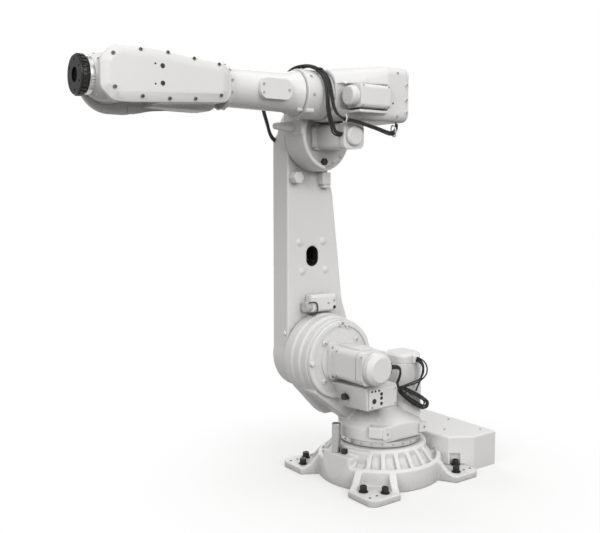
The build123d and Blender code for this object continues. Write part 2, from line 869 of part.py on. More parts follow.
def rear_section():
    middle = Pos((rear_y0 + rear_y1) / 2, (rear_z0 + rear_z1) / 2)
    return middle * RectangleRounded(rear_y1 - rear_y0, rear_z1 - rear_z0, rear_corner)


def rear_housing():
    front = Pos(0, fore_z) * RectangleRounded(2 * rear_front_half, 2 * rear_front_half, rear_front_corner)
    ends = [Plane(origin=(x, 0, 0), x_dir=(0, 1, 0), z_dir=(1, 0, 0)) * face
            for x, face in ((rear_step_x, rear_section()), (rear_x1, front))]
    body = prism_x(rear_section(), rear_x0 + rear_cover_t, rear_step_x) + loft(ends, ruled=True)
    room = motor4_size / 2 + motor4_room
    body -= block(rear_step_x, rear_x1, motor4_y - room, motor4_y + room, motor4_z - room, motor4_z + room)
    body -= disc_y(gear3_r + gear3_gap, rear_y0, gear3_y1 + motor3_flange_t + gear3_gap, axis3_x, axis3_z)
    return (body - elbow_casting()).solids().sort_by(SortBy.VOLUME)[-1]


def rear_cover():
    plate = prism_x(rear_section(), rear_x0, rear_x0 + rear_cover_t)
    return chamfer(plate.faces().sort_by(Axis.X)[0].edges(), rear_cover_edge)


def axis4_motor():
    return prism_x(Pos(motor4_y, motor4_z) * soft_square(motor4_size, motor4_corner), rear_step_x, motor4_x1)


def axis4_motor_cap():
    cap = disc_x(cap4_r, motor4_x1, motor4_x1 + cap4_len, motor4_y, motor4_z)
    return chamfer(cap.faces().sort_by(Axis.X)[-1].edges(), cap_edge)


# Leads
def lead(points):
    runs = [math.dist(a, b) for a, b in zip(points, points[1:])]
    radii = []
    for i in range(1, len(points) - 1):
        before = Vector(*points[i]) - Vector(*points[i - 1])
        after = Vector(*points[i + 1]) - Vector(*points[i])
        half_turn = math.radians(before.get_angle(after) / 2)
        radii.append(lead_bend * min(runs[i - 1], runs[i]) / math.tan(half_turn))
    path = FilletPolyline(*points, radius=radii)
    section = Plane(origin=path @ 0, z_dir=path % 0) * Circle(lead_r)
    tube = sweep(section, path=path)
    print("lead", round(path.length), "mm long, least bend radius", round(min(radii)), "mm, volume ratio",
          round(tube.volume / (path.length * math.pi * lead_r ** 2), 4))
    return tube


def lead_hank():
    turn = math.degrees(math.atan2(hank_dz, hank_dx))
    ring = SlotOverall(hank_run, hank_w) - SlotOverall(hank_run - 2 * hank_band, hank_w - 2 * hank_band)
    return prism_y(Pos(*hank_mid) * Rot(0, 0, turn) * ring, hank_y0, hank_y0 + hank_t)


def hank_bracket():
    x, z = hank_mid
    half = hank_bracket_w / 2
    return block(x - half, x + half, motor1_face_y, hank_y0, z - hank_w / 2, z + hank_w / 2)


def axis1_connector():
    half = plug1_w / 2
    body = block(plug1_x - half, plug1_x + half, motor1_y, plug1_y1, motor1_z1, motor1_z1 + plug1_h)
    body = chamfer(body.faces().sort_by(Axis.Y)[-1].edges(), plug1_edge)
    return (body - axis1_motor_cap()).solids().sort_by(Axis.Y)[-1]


def axis2_connector():
    body = block(connector_x0, connector_x1, connector_y - connector_w / 2, connector_y + connector_w / 2,
                 connector_z - connector_h / 2, connector_z + connector_h / 2)
    return chamfer(body.faces().sort_by(Axis.X)[0].edges(), connector_edge)


def lead_clamp():
    x1, y1, z = axis3_lead_points[0]
    x0 = axis4_lead_points[0][0]
    x0, x1 = (x0 + x1 - clamp_w) / 2, (x0 + x1 + clamp_w) / 2
    z0 = z - clamp_h / 2
    clamp = block(x0, x1, y1 - clamp_t, y1, z0, z0 + clamp_h)
    foot = block(x0, x1, y1 - clamp_t, 0, z0 - clamp_foot, z0)
    foot -= disc_x(elbow_tube_r, elbow_tube_x0, seam_x, 0, fore_z)
    return (clamp + foot).solids().sort_by(SortBy.VOLUME)[-1]


# Forearm and wrist
def forearm_tube():
    with BuildPart() as tube:
        with BuildSketch(Plane.XY):
            with BuildLine():
                Polyline((wrist_tube_x0, 0), (wrist_tube_x0, tube_r0), (tube_taper_x, tube_mid_r),
                         (tube_x1, tube_r1), (tube_x1, 0), close=True)
            make_face()
        revolve(axis=Axis.X)
    seat = disc_x(seat4_r, seam_x + running_gap, wrist_tube_x0, 0, fore_z)
    return Pos(0, 0, fore_z) * tube.part + seat


def forearm_cover():
    sketch = Pos(cover_x, fore_z) * RectangleRounded(cover_len, cover_h, cover_corner)
    plate = prism_y(sketch, 0, tube_r1 + cover_t)
    return (plate - forearm_tube()).solids().sort_by(Axis.Y)[-1]


def wrist_ring():
    return disc_x(wrist_ring_r, tube_x1, wrist_x0, 0, fore_z)


def wrist_side(rear, rear_low):
    end_x = wrist_front_x - wrist_tip_run
    half = [(rear, -wrist_rear_tip), (rear + wrist_rear_run, -rear_low),
            (axis5_x - wrist_low_run, -wrist_low), (end_x, -wrist_low), (wrist_front_x, -wrist_tip),
            (wrist_front_x, wrist_tip), (end_x, wrist_top), (axis5_x - wrist_top_run, wrist_top),
            (rear + wrist_rear_run, wrist_rear_half), (rear, wrist_rear_tip)]
    return Pos(0, fore_z) * fillet(outline(*half).vertices(), wrist_round)


def wrist_housing():
    body = prism_y(wrist_side(wrist_x0, wrist_rear_half), 0, wrist_half)
    body += prism_y(wrist_side(wrist_x0, wrist_rear_low), -wrist_half, 0)
    end_x = wrist_front_x + belly_r
    bowl = SlotOverall(2 * belly_r + belly_run, 2 * belly_r)
    belly = prism_y(Pos(axis5_x - belly_back - belly_run / 2, fore_z) * bowl, -wrist_half, -fork_half)
    body += belly & block(throat_x, end_x, -wrist_half, -fork_half, fore_z - belly_r, fore_z)
    slot = block(throat_x, end_x, -fork_half, fork_half, fore_z - belly_r, fore_z + belly_r)
    return body - slot


def wrist_cover(side):
    plan = wrist_side(wrist_x0 + side_cover_in, wrist_rear_half if side > 0 else wrist_rear_low)
    bevel_y = wrist_half + side_cover_rim
    plate = prism_y(plan, wrist_half, bevel_y)
    panel = offset(plan, -side_cover_bevel)
    ends = [Plane(origin=(0, y, 0), x_dir=(1, 0, 0), z_dir=(0, -1, 0)) * face
            for y, face in ((bevel_y, plan), (bevel_y + side_cover_rise, panel))]
    plate += loft(ends, ruled=True)
    return plate if side > 0 else mirror(plate, about=Plane.XZ)


def tilt_housing():
    with BuildPart() as nose:
        with BuildSketch(Plane.XY):
            with BuildLine():
                Polyline((axis5_x, 0), (axis5_x, tilt_r), (axis5_x + tilt_len, tilt_r),
                         (axis5_x + tilt_step, tilt_step_r), (tilt_ring_x0, tilt_ring_r),
                         (tilt_ring_x0, nose_r), (nose_x1, nose_r), (nose_x1, 0), close=True)
            make_face()
        revolve(axis=Axis.X)
    fork_room = block(axis5_x, nose_x1, -tilt_half, tilt_half, fore_z - tilt_r, fore_z + tilt_r)
    body = (Pos(0, 0, fore_z) * nose.part) & fork_room
    body += disc_y(tilt_r, -tilt_half, tilt_half, axis5_x, fore_z)
    seat_y = fork_half - running_gap
    return body + disc_y(seat5_r, -seat_y, seat_y, axis5_x, fore_z)


def tilt_ring():
    ring = disc_x(tilt_ring_r, tilt_ring_x0, nose_x1, 0, fore_z)
    return ring - disc_x(nose_r, tilt_ring_x0, nose_x1, 0, fore_z)


def tool_flange():
    disc = disc_x(flange_r, flange_x0, flange_x1, 0, fore_z)
    disc = chamfer(disc.faces().sort_by(Axis.X)[-1].edges(), flange_edge)
    disc += disc_x(flange_neck_r, nose_x1 + running_gap, flange_x0, 0, fore_z)
    disc -= disc_x(flange_bore_r, flange_x1 - flange_bore_depth, flange_x1, 0, fore_z)
    for place in PolarLocations(flange_bolt_pcd_r, flange_bolt_count):
        y, z = place.position.Y, place.position.X
        disc -= disc_x(flange_bolt_r, flange_x1 - flange_bolt_depth, flange_x1, y, fore_z + z)
    return disc


PIECES = {
    "base_casting": base_casting,
    "connector_box": connector_box,
    "connector_panel": connector_panel,
    "stop_pin": stop_pin,
    "base_plug": base_plug,
    "turntable_ring": turntable_ring,
    "frame_casting": frame_casting,
    "lifting_lugs": lifting_lugs,
    "axis2_gear_cover": axis2_gear_cover,
    "axis2_motor": axis2_motor,
    "axis2_motor_cap": axis2_motor_cap,
    "axis1_motor": axis1_motor,
    "axis1_motor_cap": axis1_motor_cap,
    "terminal_plate": terminal_plate,
    "frame_oil_plug": frame_oil_plug,
    "lower_arm_casting": lower_arm_casting,
    "lower_stop_block": lower_stop_block,
    "lower_stop_bumper": lower_stop_bumper,
    "upper_stop_block": upper_stop_block,
    "elbow_casting": elbow_casting,
    "axis3_gear_housing": axis3_gear_housing,
    "elbow_oil_plug": elbow_oil_plug,
    "axis3_motor": axis3_motor,
    "axis3_motor_cap": axis3_motor_cap,
    "rear_housing": rear_housing,
    "rear_cover": rear_cover,
    "axis4_motor": axis4_motor,
    "axis4_motor_cap": axis4_motor_cap,
    "axis2_connector": axis2_connector,
    "axis1_connector": axis1_connector,
    "axis1_lead": lambda: lead(axis1_lead_points),
    "axis2_lead": lambda: lead(axis2_lead_points),
    "lead_hank": lead_hank,
    "hank_bracket": hank_bracket,
    "axis3_lead": lambda: lead(axis3_lead_points),
    "axis4_lead": lambda: lead(axis4_lead_points),
    "lead_clamp": lead_clamp,
    "forearm_tube": forearm_tube,
    "forearm_cover": forearm_cover,
    "wrist_ring": wrist_ring,
    "wrist_housing": wrist_housing,
    "wrist_cover_left": lambda: wrist_cover(1),
    "wrist_cover_right": lambda: wrist_cover(-1),
    "tilt_housing": tilt_housing,
    "tilt_ring": tilt_ring,
    "tool_flange": tool_flange,
}

os.makedirs("parts", exist_ok=True)
for name, make in PIECES.items():
    export_step(one(make()), f"parts/{name}.step")
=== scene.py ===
# %% [markdown]
# A six-axis robot arm, dressed for the studio.
# The solids arrive as a fixed frame, already at real size and in place, so nothing is moved or scaled.
# This lesson gives each of them its finish: soft cast edges, paint, screws, seals and leads.

# %% Load the frame
import json
import math

import bmesh
import bpy
from mathutils import Matrix, Vector
from mathutils.bvhtree import BVHTree
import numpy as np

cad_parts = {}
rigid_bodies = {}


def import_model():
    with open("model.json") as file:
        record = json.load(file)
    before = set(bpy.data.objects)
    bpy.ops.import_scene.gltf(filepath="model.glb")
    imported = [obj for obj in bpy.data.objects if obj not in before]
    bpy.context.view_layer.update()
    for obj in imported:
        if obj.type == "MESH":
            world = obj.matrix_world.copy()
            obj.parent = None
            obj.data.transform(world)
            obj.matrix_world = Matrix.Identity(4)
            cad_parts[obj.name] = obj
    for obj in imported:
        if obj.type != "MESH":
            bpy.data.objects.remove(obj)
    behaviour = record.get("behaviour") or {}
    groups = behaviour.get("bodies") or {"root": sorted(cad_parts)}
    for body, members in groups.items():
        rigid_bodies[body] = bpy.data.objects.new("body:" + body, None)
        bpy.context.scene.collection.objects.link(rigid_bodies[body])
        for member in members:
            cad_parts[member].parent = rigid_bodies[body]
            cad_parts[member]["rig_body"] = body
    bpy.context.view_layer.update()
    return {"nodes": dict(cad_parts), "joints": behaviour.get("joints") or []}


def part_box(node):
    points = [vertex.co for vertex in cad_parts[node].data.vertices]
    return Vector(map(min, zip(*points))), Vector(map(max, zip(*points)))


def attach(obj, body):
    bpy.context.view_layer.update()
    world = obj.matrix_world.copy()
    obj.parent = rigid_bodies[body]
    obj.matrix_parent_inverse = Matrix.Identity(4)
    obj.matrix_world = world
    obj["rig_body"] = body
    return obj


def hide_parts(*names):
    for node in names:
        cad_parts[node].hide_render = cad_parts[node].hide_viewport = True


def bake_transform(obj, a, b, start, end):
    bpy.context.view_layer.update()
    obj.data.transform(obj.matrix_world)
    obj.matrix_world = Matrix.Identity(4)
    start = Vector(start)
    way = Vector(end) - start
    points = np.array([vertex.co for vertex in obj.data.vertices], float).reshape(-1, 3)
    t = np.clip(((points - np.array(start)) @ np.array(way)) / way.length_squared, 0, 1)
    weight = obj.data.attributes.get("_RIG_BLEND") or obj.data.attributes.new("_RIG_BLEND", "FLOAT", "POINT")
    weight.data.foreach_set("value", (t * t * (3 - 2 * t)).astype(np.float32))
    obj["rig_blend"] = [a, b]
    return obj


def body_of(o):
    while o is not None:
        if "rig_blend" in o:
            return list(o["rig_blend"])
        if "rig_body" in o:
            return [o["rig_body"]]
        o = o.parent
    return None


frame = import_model()
nodes = frame["nodes"]
scene = bpy.context.scene
scene.view_settings.view_transform = "Standard"

# %% [markdown]
# The camera stands where the photographer stood: at eye height, in front of the arm and to its
# left. A camera could be turned by hand until it looks right, but here its place came from
# measuring the feet and the axes, so it is written as a point, a direction and a lens.

# %% Camera
CAMERA_PLACE = Vector((2.949, 3.285, 1.583))
CAMERA_LOOK = Vector((-0.586, -0.804, -0.095))
CAMERA_LENS = 47.78

camera_data = bpy.data.cameras.new("camera")
camera_data.lens = CAMERA_LENS
camera_data.sensor_width = 36.0
camera_data.sensor_fit = "HORIZONTAL"
camera = bpy.data.objects.new("camera", camera_data)
camera.location = CAMERA_PLACE
camera.rotation_mode = "QUATERNION"
camera.rotation_quaternion = CAMERA_LOOK.to_track_quat("-Z", "Y")
scene.collection.objects.link(camera)
scene.camera = camera
print("camera at", tuple(round(v, 2) for v in CAMERA_PLACE))

# %% [markdown]
# Node trees are long to write, so two small helpers do the typing: one adds a node and sets its
# values by name, the other joins two sockets. Every material below is built with them.


# %% Node helpers
def add_node(tree, kind, **values):
    node = tree.nodes.new(kind)
    for key, value in values.items():
        name = key.replace("_", " ")
        if name in node.inputs:
            node.inputs[name].default_value = value
        else:
            setattr(node, key, value)
    return node


def join(tree, output, target):
    tree.links.new(output, target)


def new_group(name, inputs, outputs):
    group = bpy.data.node_groups.new(name, "ShaderNodeTree")
    for label, kind, value in inputs:
        socket = group.interface.new_socket(label, in_out="INPUT", socket_type=kind)
        if value is not None:
            socket.default_value = value
    for label, kind in outputs:
        group.interface.new_socket(label, in_out="OUTPUT", socket_type=kind)
    return group, group.nodes.new("NodeGroupInput"), group.nodes.new("NodeGroupOutput")


def use_group(tree, group, **values):
    node = tree.nodes.new("ShaderNodeGroup")
    node.node_tree = group
    for key, value in values.items():
        node.inputs[key.replace("_", " ")].default_value = value
    return node


FLOAT = "NodeSocketFloat"
print("node helpers ready")

# %% [markdown]
# Sprayed paint on iron is never quite one colour and never quite flat. It has a fine orange peel,
# and under it the grain of the sand mould. Both could be modelled, but they are a few hundredths of
# a millimetre high, so they are bump: one group makes the height, and each paint asks for as much
# peel and as much sand as it needs.

# %% Paint skin group
skin, skin_in, skin_out = new_group(
    "paint_skin", [("Peel", FLOAT, 0.3), ("Sand", FLOAT, 0.5)], [("Height", FLOAT), ("Tint", FLOAT)])
place = add_node(skin, "ShaderNodeTexCoord")
peel = add_node(skin, "ShaderNodeTexNoise", Scale=260.0, Detail=2.0, Roughness=0.4)
sand = add_node(skin, "ShaderNodeTexNoise", Scale=95.0, Detail=5.0, Roughness=0.62)
cloud = add_node(skin, "ShaderNodeTexNoise", Scale=3.2, Detail=4.0, Roughness=0.6)
for noise in (peel, sand, cloud):
    join(skin, place.outputs["Object"], noise.inputs["Vector"])
peel_part = add_node(skin, "ShaderNodeMath", operation="MULTIPLY")
join(skin, peel.outputs["Fac"], peel_part.inputs[0])
join(skin, skin_in.outputs["Peel"], peel_part.inputs[1])
sand_part = add_node(skin, "ShaderNodeMath", operation="MULTIPLY_ADD")
join(skin, sand.outputs["Fac"], sand_part.inputs[0])
join(skin, skin_in.outputs["Sand"], sand_part.inputs[1])
join(skin, peel_part.outputs[0], sand_part.inputs[2])
join(skin, sand_part.outputs[0], skin_out.inputs["Height"])
join(skin, cloud.outputs["Fac"], skin_out.inputs["Tint"])
print("paint skin group:", len(skin.nodes), "nodes")

# %% [markdown]
# Dust and old grease gather in corners and under flanges, and shade falls in the same places, so a
# second group paints both as one mark: dust and painted shade. Painting that by hand would have to
# be done again for each piece, so the group finds the corners by itself: ambient occlusion is dark
# in a corner and light on an open face, and a noise breaks the edge of the mark.

# %% Corner dust and painted shade group
dust_and_shade, dust_and_shade_in, dust_and_shade_out = new_group(
    "corner_dust_and_shade", [("Reach", FLOAT, 0.03), ("Amount", FLOAT, 0.5)], [("Mask", FLOAT)])
shade = add_node(dust_and_shade, "ShaderNodeAmbientOcclusion", samples=6)
join(dust_and_shade, dust_and_shade_in.outputs["Reach"], shade.inputs["Distance"])
corner = add_node(dust_and_shade, "ShaderNodeMapRange", From_Min=0.95, From_Max=0.35, To_Min=0.0, To_Max=1.0)
join(dust_and_shade, shade.outputs["AO"], corner.inputs["Value"])
dust_place = add_node(dust_and_shade, "ShaderNodeTexCoord")
grit = add_node(dust_and_shade, "ShaderNodeTexNoise", Scale=38.0, Detail=6.0, Roughness=0.7)
join(dust_and_shade, dust_place.outputs["Object"], grit.inputs["Vector"])
broken = add_node(dust_and_shade, "ShaderNodeMath", operation="MULTIPLY")
join(dust_and_shade, corner.outputs["Result"], broken.inputs[0])
join(dust_and_shade, grit.outputs["Fac"], broken.inputs[1])
scaled = add_node(dust_and_shade, "ShaderNodeMath", operation="MULTIPLY", use_clamp=True)
join(dust_and_shade, broken.outputs[0], scaled.inputs[0])
join(dust_and_shade, dust_and_shade_in.outputs["Amount"], scaled.inputs[1])
join(dust_and_shade, scaled.outputs[0], dust_and_shade_out.inputs["Mask"])
print("corner dust group:", len(dust_and_shade.nodes), "nodes")

# %% [markdown]
# Turned and ground metal shows fine lines, and handled metal shows smears. One group gives both as
# a value that goes into roughness and bump.

# %% Tool mark group
marks, marks_in, marks_out = new_group(
    "tool_marks", [("Scale", FLOAT, 60.0), ("Stretch", "NodeSocketVector", (1.0, 1.0, 18.0))],
    [("Lines", FLOAT), ("Smear", FLOAT)])
mark_place = add_node(marks, "ShaderNodeTexCoord")
stretch = add_node(marks, "ShaderNodeVectorMath", operation="MULTIPLY")
join(marks, mark_place.outputs["Object"], stretch.inputs[0])
join(marks, marks_in.outputs["Stretch"], stretch.inputs[1])
lines = add_node(marks, "ShaderNodeTexNoise", Detail=3.0, Roughness=0.55)
join(marks, stretch.outputs[0], lines.inputs["Vector"])
join(marks, marks_in.outputs["Scale"], lines.inputs["Scale"])
smear = add_node(marks, "ShaderNodeTexNoise", Scale=14.0, Detail=5.0, Roughness=0.65)
join(marks, mark_place.outputs["Object"], smear.inputs["Vector"])
join(marks, lines.outputs["Fac"], marks_out.inputs["Lines"])
join(marks, smear.outputs["Fac"], marks_out.inputs["Smear"])
print("tool mark group:", len(marks.nodes), "nodes")


# %% [markdown]
# White machine paint: a slightly grey white, satin rather than glossy. The castings carry more sand
# grain and more corner dust and painted shade than the sheet covers and the motors, so one function
# makes all three paints from different amounts.


# %% Paint materials
# The warm grey that corners and the undersides of flanges darken towards, and how far that reaches. At 11 cm
# the mark is painted shade as much as dust.
DUST_AND_SHADE_TONE = (0.27, 0.26, 0.235)
DUST_AND_SHADE_REACH = 0.11


def grey(value):
    return (value, value, value)


def paint(name, color, roughness, peel, sand, dust_and_shade_amount):
    material = bpy.data.materials.new(name)
    material.use_nodes = True
    tree = material.node_tree
    shader = tree.nodes["Principled BSDF"]
    body = use_group(tree, skin, Peel=peel, Sand=sand)
    # Corners and recesses darken towards the warm grey: dust and painted shade.
    dust_and_shade_node = use_group(tree, dust_and_shade, Reach=DUST_AND_SHADE_REACH, Amount=dust_and_shade_amount)
    tint = add_node(tree, "ShaderNodeMix", data_type="RGBA")
    tint.inputs["A"].default_value = (*[c * 0.965 for c in color], 1)
    tint.inputs["B"].default_value = (*color, 1)
    join(tree, body.outputs["Tint"], tint.inputs["Factor"])
    dust_and_shade_mix = add_node(tree, "ShaderNodeMix", data_type="RGBA")
    dust_and_shade_mix.inputs["B"].default_value = (*DUST_AND_SHADE_TONE, 1)
    join(tree, dust_and_shade_node.outputs["Mask"], dust_and_shade_mix.inputs["Factor"])
    join(tree, tint.outputs["Result"], dust_and_shade_mix.inputs["A"])
    join(tree, dust_and_shade_mix.outputs["Result"], shader.inputs["Base Color"])
    gloss = add_node(tree, "ShaderNodeMapRange", To_Min=roughness - 0.06, To_Max=roughness + 0.08)
    join(tree, body.outputs["Tint"], gloss.inputs["Value"])
    join(tree, gloss.outputs["Result"], shader.inputs["Roughness"])
    bump = add_node(tree, "ShaderNodeBump", Strength=0.25, Distance=0.0006)
    join(tree, body.outputs["Height"], bump.inputs["Height"])
    join(tree, bump.outputs["Normal"], shader.inputs["Normal"])
    return material


cast_white = paint("cast_white", grey(0.80), roughness=0.46, peel=0.25, sand=0.75, dust_and_shade_amount=0.95)
cover_white = paint("cover_white", grey(0.815), roughness=0.36, peel=0.35, sand=0.12, dust_and_shade_amount=0.6)
box_white = paint("box_white", grey(0.80), roughness=0.42, peel=0.35, sand=0.2, dust_and_shade_amount=0.2)
print("paints:", cast_white.name, cover_white.name, box_white.name)


# %% [markdown]
# The other finishes are a black oxide flange, black, dark and bright screws, a ground steel pin,
# bare machined rings, moulded black plugs, pale rubber, cable jacket, a grey panel, and a near black
# that is painted shade inside holes. They differ in colour, metal and roughness and share the tool
# mark group. Tool marks run round a turned piece, so each finish says along which axis the noise is
# squeezed into fine lines.


# %% Metal, plastic and rubber materials
SCREW_MARKS = (1.0, 1.0, 18.0)
PIN_MARKS = (1.0, 1.0, 22.0)
FLANGE_MARKS = (18.0, 1.0, 1.0)
RING_MARKS = (20.0, 1.0, 1.0)
MOULDED = (1.0, 1.0, 1.0)


def finish(name, dark, light, metal, rough, squeeze, scale=60.0, bump_depth=0.0002):
    material = bpy.data.materials.new(name)
    material.use_nodes = True
    tree = material.node_tree
    shader = tree.nodes["Principled BSDF"]
    shader.inputs["Metallic"].default_value = metal
    worked = use_group(tree, marks, Scale=scale, Stretch=squeeze)
    # Corners darken towards half the dark tone: a little dust and painted shade.
    dust_and_shade_node = use_group(tree, dust_and_shade, Reach=0.02, Amount=0.25)
    tint = add_node(tree, "ShaderNodeMix", data_type="RGBA")
    tint.inputs["A"].default_value = (*dark, 1)
    tint.inputs["B"].default_value = (*light, 1)
    join(tree, worked.outputs["Smear"], tint.inputs["Factor"])
    dust_and_shade_mix = add_node(tree, "ShaderNodeMix", data_type="RGBA")
    dust_and_shade_mix.inputs["B"].default_value = (*[c * 0.5 for c in dark], 1)
    join(tree, dust_and_shade_node.outputs["Mask"], dust_and_shade_mix.inputs["Factor"])
    join(tree, tint.outputs["Result"], dust_and_shade_mix.inputs["A"])
    join(tree, dust_and_shade_mix.outputs["Result"], shader.inputs["Base Color"])
    gloss = add_node(tree, "ShaderNodeMapRange", To_Min=rough - 0.08, To_Max=rough + 0.12)
    join(tree, worked.outputs["Smear"], gloss.inputs["Value"])
    join(tree, gloss.outputs["Result"], shader.inputs["Roughness"])
    bump = add_node(tree, "ShaderNodeBump", Strength=0.3, Distance=bump_depth)
    join(tree, worked.outputs["Lines"], bump.inputs["Height"])
    join(tree, bump.outputs["Normal"], shader.inputs["Normal"])
    return material


black_flange = finish(
    "black_flange", (0.012, 0.012, 0.013), (0.03, 0.03, 0.032), 0.55, 0.27, FLANGE_MARKS)
black_screw = finish("black_screw", (0.014, 0.014, 0.015), (0.04, 0.04, 0.042), 0.6, 0.38, SCREW_MARKS)
zinc_screw = finish("zinc_screw", (0.42, 0.42, 0.41), (0.58, 0.58, 0.56), 0.9, 0.36, SCREW_MARKS)
dark_screw = finish("dark_screw", (0.10, 0.10, 0.098), (0.19, 0.19, 0.185), 0.8, 0.42, SCREW_MARKS)
ground_steel = finish("ground_steel", (0.36, 0.36, 0.37), (0.52, 0.52, 0.53), 0.95, 0.3, PIN_MARKS)
bare_metal = finish("bare_metal", (0.50, 0.50, 0.49), (0.66, 0.66, 0.65), 0.9, 0.32, RING_MARKS)
black_plug = finish("black_plug", grey(0.010), grey(0.024), 0.0, 0.42, MOULDED)
pale_rubber = finish(
    "pale_rubber", (0.46, 0.46, 0.44), (0.60, 0.60, 0.58), 0.0, 0.6, MOULDED,
    scale=120.0, bump_depth=0.0004)
cable_jacket = finish(
    "cable_jacket", (0.011, 0.011, 0.012), (0.022, 0.022, 0.024), 0.0, 0.48, MOULDED, scale=90.0)
grey_panel = finish("grey_panel", (0.30, 0.31, 0.32), (0.36, 0.37, 0.38), 0.0, 0.45, MOULDED)
# A near black for the inside of holes, which is painted shade: the inside is dark only because light does
# not reach it.
hole_shade_black = finish("hole_shade_black", grey(0.004), grey(0.008), 0.0, 0.85, MOULDED)
print("finishes:", len(bpy.data.materials), "materials so far")


# %% [markdown]
# The solids come in with razor edges. A sand casting has no such edge: the mould rounds every
# corner and leaves a fillet in every inner one. Bevels would round the outer edges only and trip
# over the ribs, so a copy of each casting is turned into small cells, which joins everything into
# one skin, and then smoothed until the edges run out. Machined and moulded pieces keep their flat
# faces and get a clean narrow bevel.


# %% Mesh helpers
def plain_copy(node, name):
    mesh = nodes[node].data.copy()
    mesh.materials.clear()
    if "custom_normal" in mesh.attributes:
        mesh.attributes.remove(mesh.attributes["custom_normal"])
    shape = bmesh.new()
    shape.from_mesh(mesh)
    bmesh.ops.remove_doubles(shape, verts=shape.verts, dist=0.00002)
    bmesh.ops.dissolve_limit(shape, angle_limit=math.radians(0.6), verts=shape.verts, edges=shape.edges)
    shape.to_mesh(mesh)
    shape.free()
    piece = bpy.data.objects.new(name, mesh)
    scene.collection.objects.link(piece)
    return piece


def settle(piece):
    depsgraph = bpy.context.evaluated_depsgraph_get()
    mesh = bpy.data.meshes.new_from_object(piece.evaluated_get(depsgraph))
    piece.modifiers.clear()
    piece.data = mesh
    return mesh


def dress(piece, material, slot, body, *replaced):
    piece.data.materials.clear()
    piece.data.materials.append(material)
    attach(piece, body)
    if replaced:
        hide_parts(*replaced)
    return piece


def body_of_node(node):
    return body_of(nodes[node])[0]


def cast(node, voxel, passes):
    piece = plain_copy(node, node + "_cast")
    remesh = piece.modifiers.new("cells", "REMESH")
    remesh.mode = "VOXEL"
    remesh.voxel_size = voxel
    soften = piece.modifiers.new("soften", "SMOOTH")
    soften.factor = 0.5
    soften.iterations = passes
    mesh = settle(piece)
    mesh.polygons.foreach_set("use_smooth", [True] * len(mesh.polygons))
    print(node, "cast with", len(mesh.polygons), "faces")
    return dress(piece, cast_white, "white_paint", body_of_node(node), node)


def machined(node, width, material, slot):
    piece = plain_copy(node, node + "_finished")
    bevel = piece.modifiers.new("edge", "BEVEL")
    bevel.width = width
    bevel.segments = 3
    bevel.limit_method = "ANGLE"
    bevel.angle_limit = math.radians(28)
    mesh = settle(piece)
    mesh.polygons.foreach_set("use_smooth", [True] * len(mesh.polygons))
    mesh.set_sharp_from_angle(angle=math.radians(40))
    weigh = piece.modifiers.new("flat_faces", "WEIGHTED_NORMAL")
    weigh.keep_sharp = True
    settle(piece)
    return dress(piece, material, slot, body_of_node(node), node)


print("mesh helpers ready")

# %% [markdown]
# The big castings come first: the ribbed base, the turning frame, the lower arm, the elbow, the
# wrist housing and the rear housing. Each has its own cell size and number of smoothing passes.

# %% Castings
CASTINGS = {
    "base_casting": (0.0044, 4), "frame_casting": (0.0046, 5), "lower_arm_casting": (0.0052, 5),
    "elbow_casting": (0.0046, 5), "wrist_housing": (0.0046, 5), "rear_housing": (0.0046, 5)}
for node, (voxel, passes) in CASTINGS.items():
    cast(node, voxel, passes)

# %% [markdown]
# Next the painted pieces with clean edges: covers, motors, plates and blocks.

# %% Painted pieces with clean edges
PAINTED = {
    "connector_box": 0.006, "lifting_lugs": 0.003,
    "axis2_gear_cover": 0.004, "axis2_motor": 0.004, "axis2_motor_cap": 0.004,
    "axis1_motor": 0.004, "axis1_motor_cap": 0.004, "terminal_plate": 0.002,
    "lower_stop_block": 0.006, "upper_stop_block": 0.004,
    "axis3_gear_housing": 0.004, "axis3_motor": 0.004, "axis3_motor_cap": 0.004,
    "rear_cover": 0.004, "axis4_motor": 0.004, "axis4_motor_cap": 0.003,
    "forearm_tube": 0.003, "forearm_cover": 0.005, "wrist_ring": 0.002,
    "wrist_cover_left": 0.006, "wrist_cover_right": 0.006, "tilt_housing": 0.004}
for node, width in PAINTED.items():
    material = box_white if node == "connector_box" else cover_white
    machined(node, width, material, "white_paint")
print("painted pieces:", len(PAINTED))

# %% [markdown]
# Next the pieces of other finishes: bearing rings, plugs, the pin that axis 1 runs against, the
# flange and the panel, with two small white ones, a connector and a bracket.

# %% Rings, plugs, pin and flange
BARE = {
    "turntable_ring": (bare_metal, "bare_metal", 0.002),
    "stop_pin": (ground_steel, "steel_pin", 0.002),
    "base_plug": (black_plug, "black_plug", 0.002),
    "frame_oil_plug": (black_plug, "black_plug", 0.002),
    "elbow_oil_plug": (black_plug, "black_plug", 0.002),
    "lower_stop_bumper": (pale_rubber, "rubber", 0.004),
    "tilt_ring": (bare_metal, "bare_metal", 0.002),
    "tool_flange": (black_flange, "black_flange", 0.0015),
    "connector_panel": (grey_panel, "grey_panel", 0.002),
    "axis1_connector": (cover_white, "white_paint", 0.002),
    "axis2_connector": (black_plug, "black_plug", 0.002),
    "hank_bracket": (cover_white, "white_paint", 0.002),
    "lead_clamp": (black_plug, "black_plug", 0.002)}
for node, (material, slot, width) in BARE.items():
    machined(node, width, material, slot)
print("pieces of other finishes:", len(BARE))

# %% [markdown]
# Nearly everything small on the arm is turned: screws, bosses, plugs, bumpers and the dark discs at
# the mouths of holes, which are painted shade. So one helper spins a profile, a list of radius and
# height, about any axis. A ring of the profile may also have flats, which gives the hexagon sockets in
# cap screws. Small things of one finish on one body end up in one joined mesh, because a hundred
# separate screws would only be a burden.


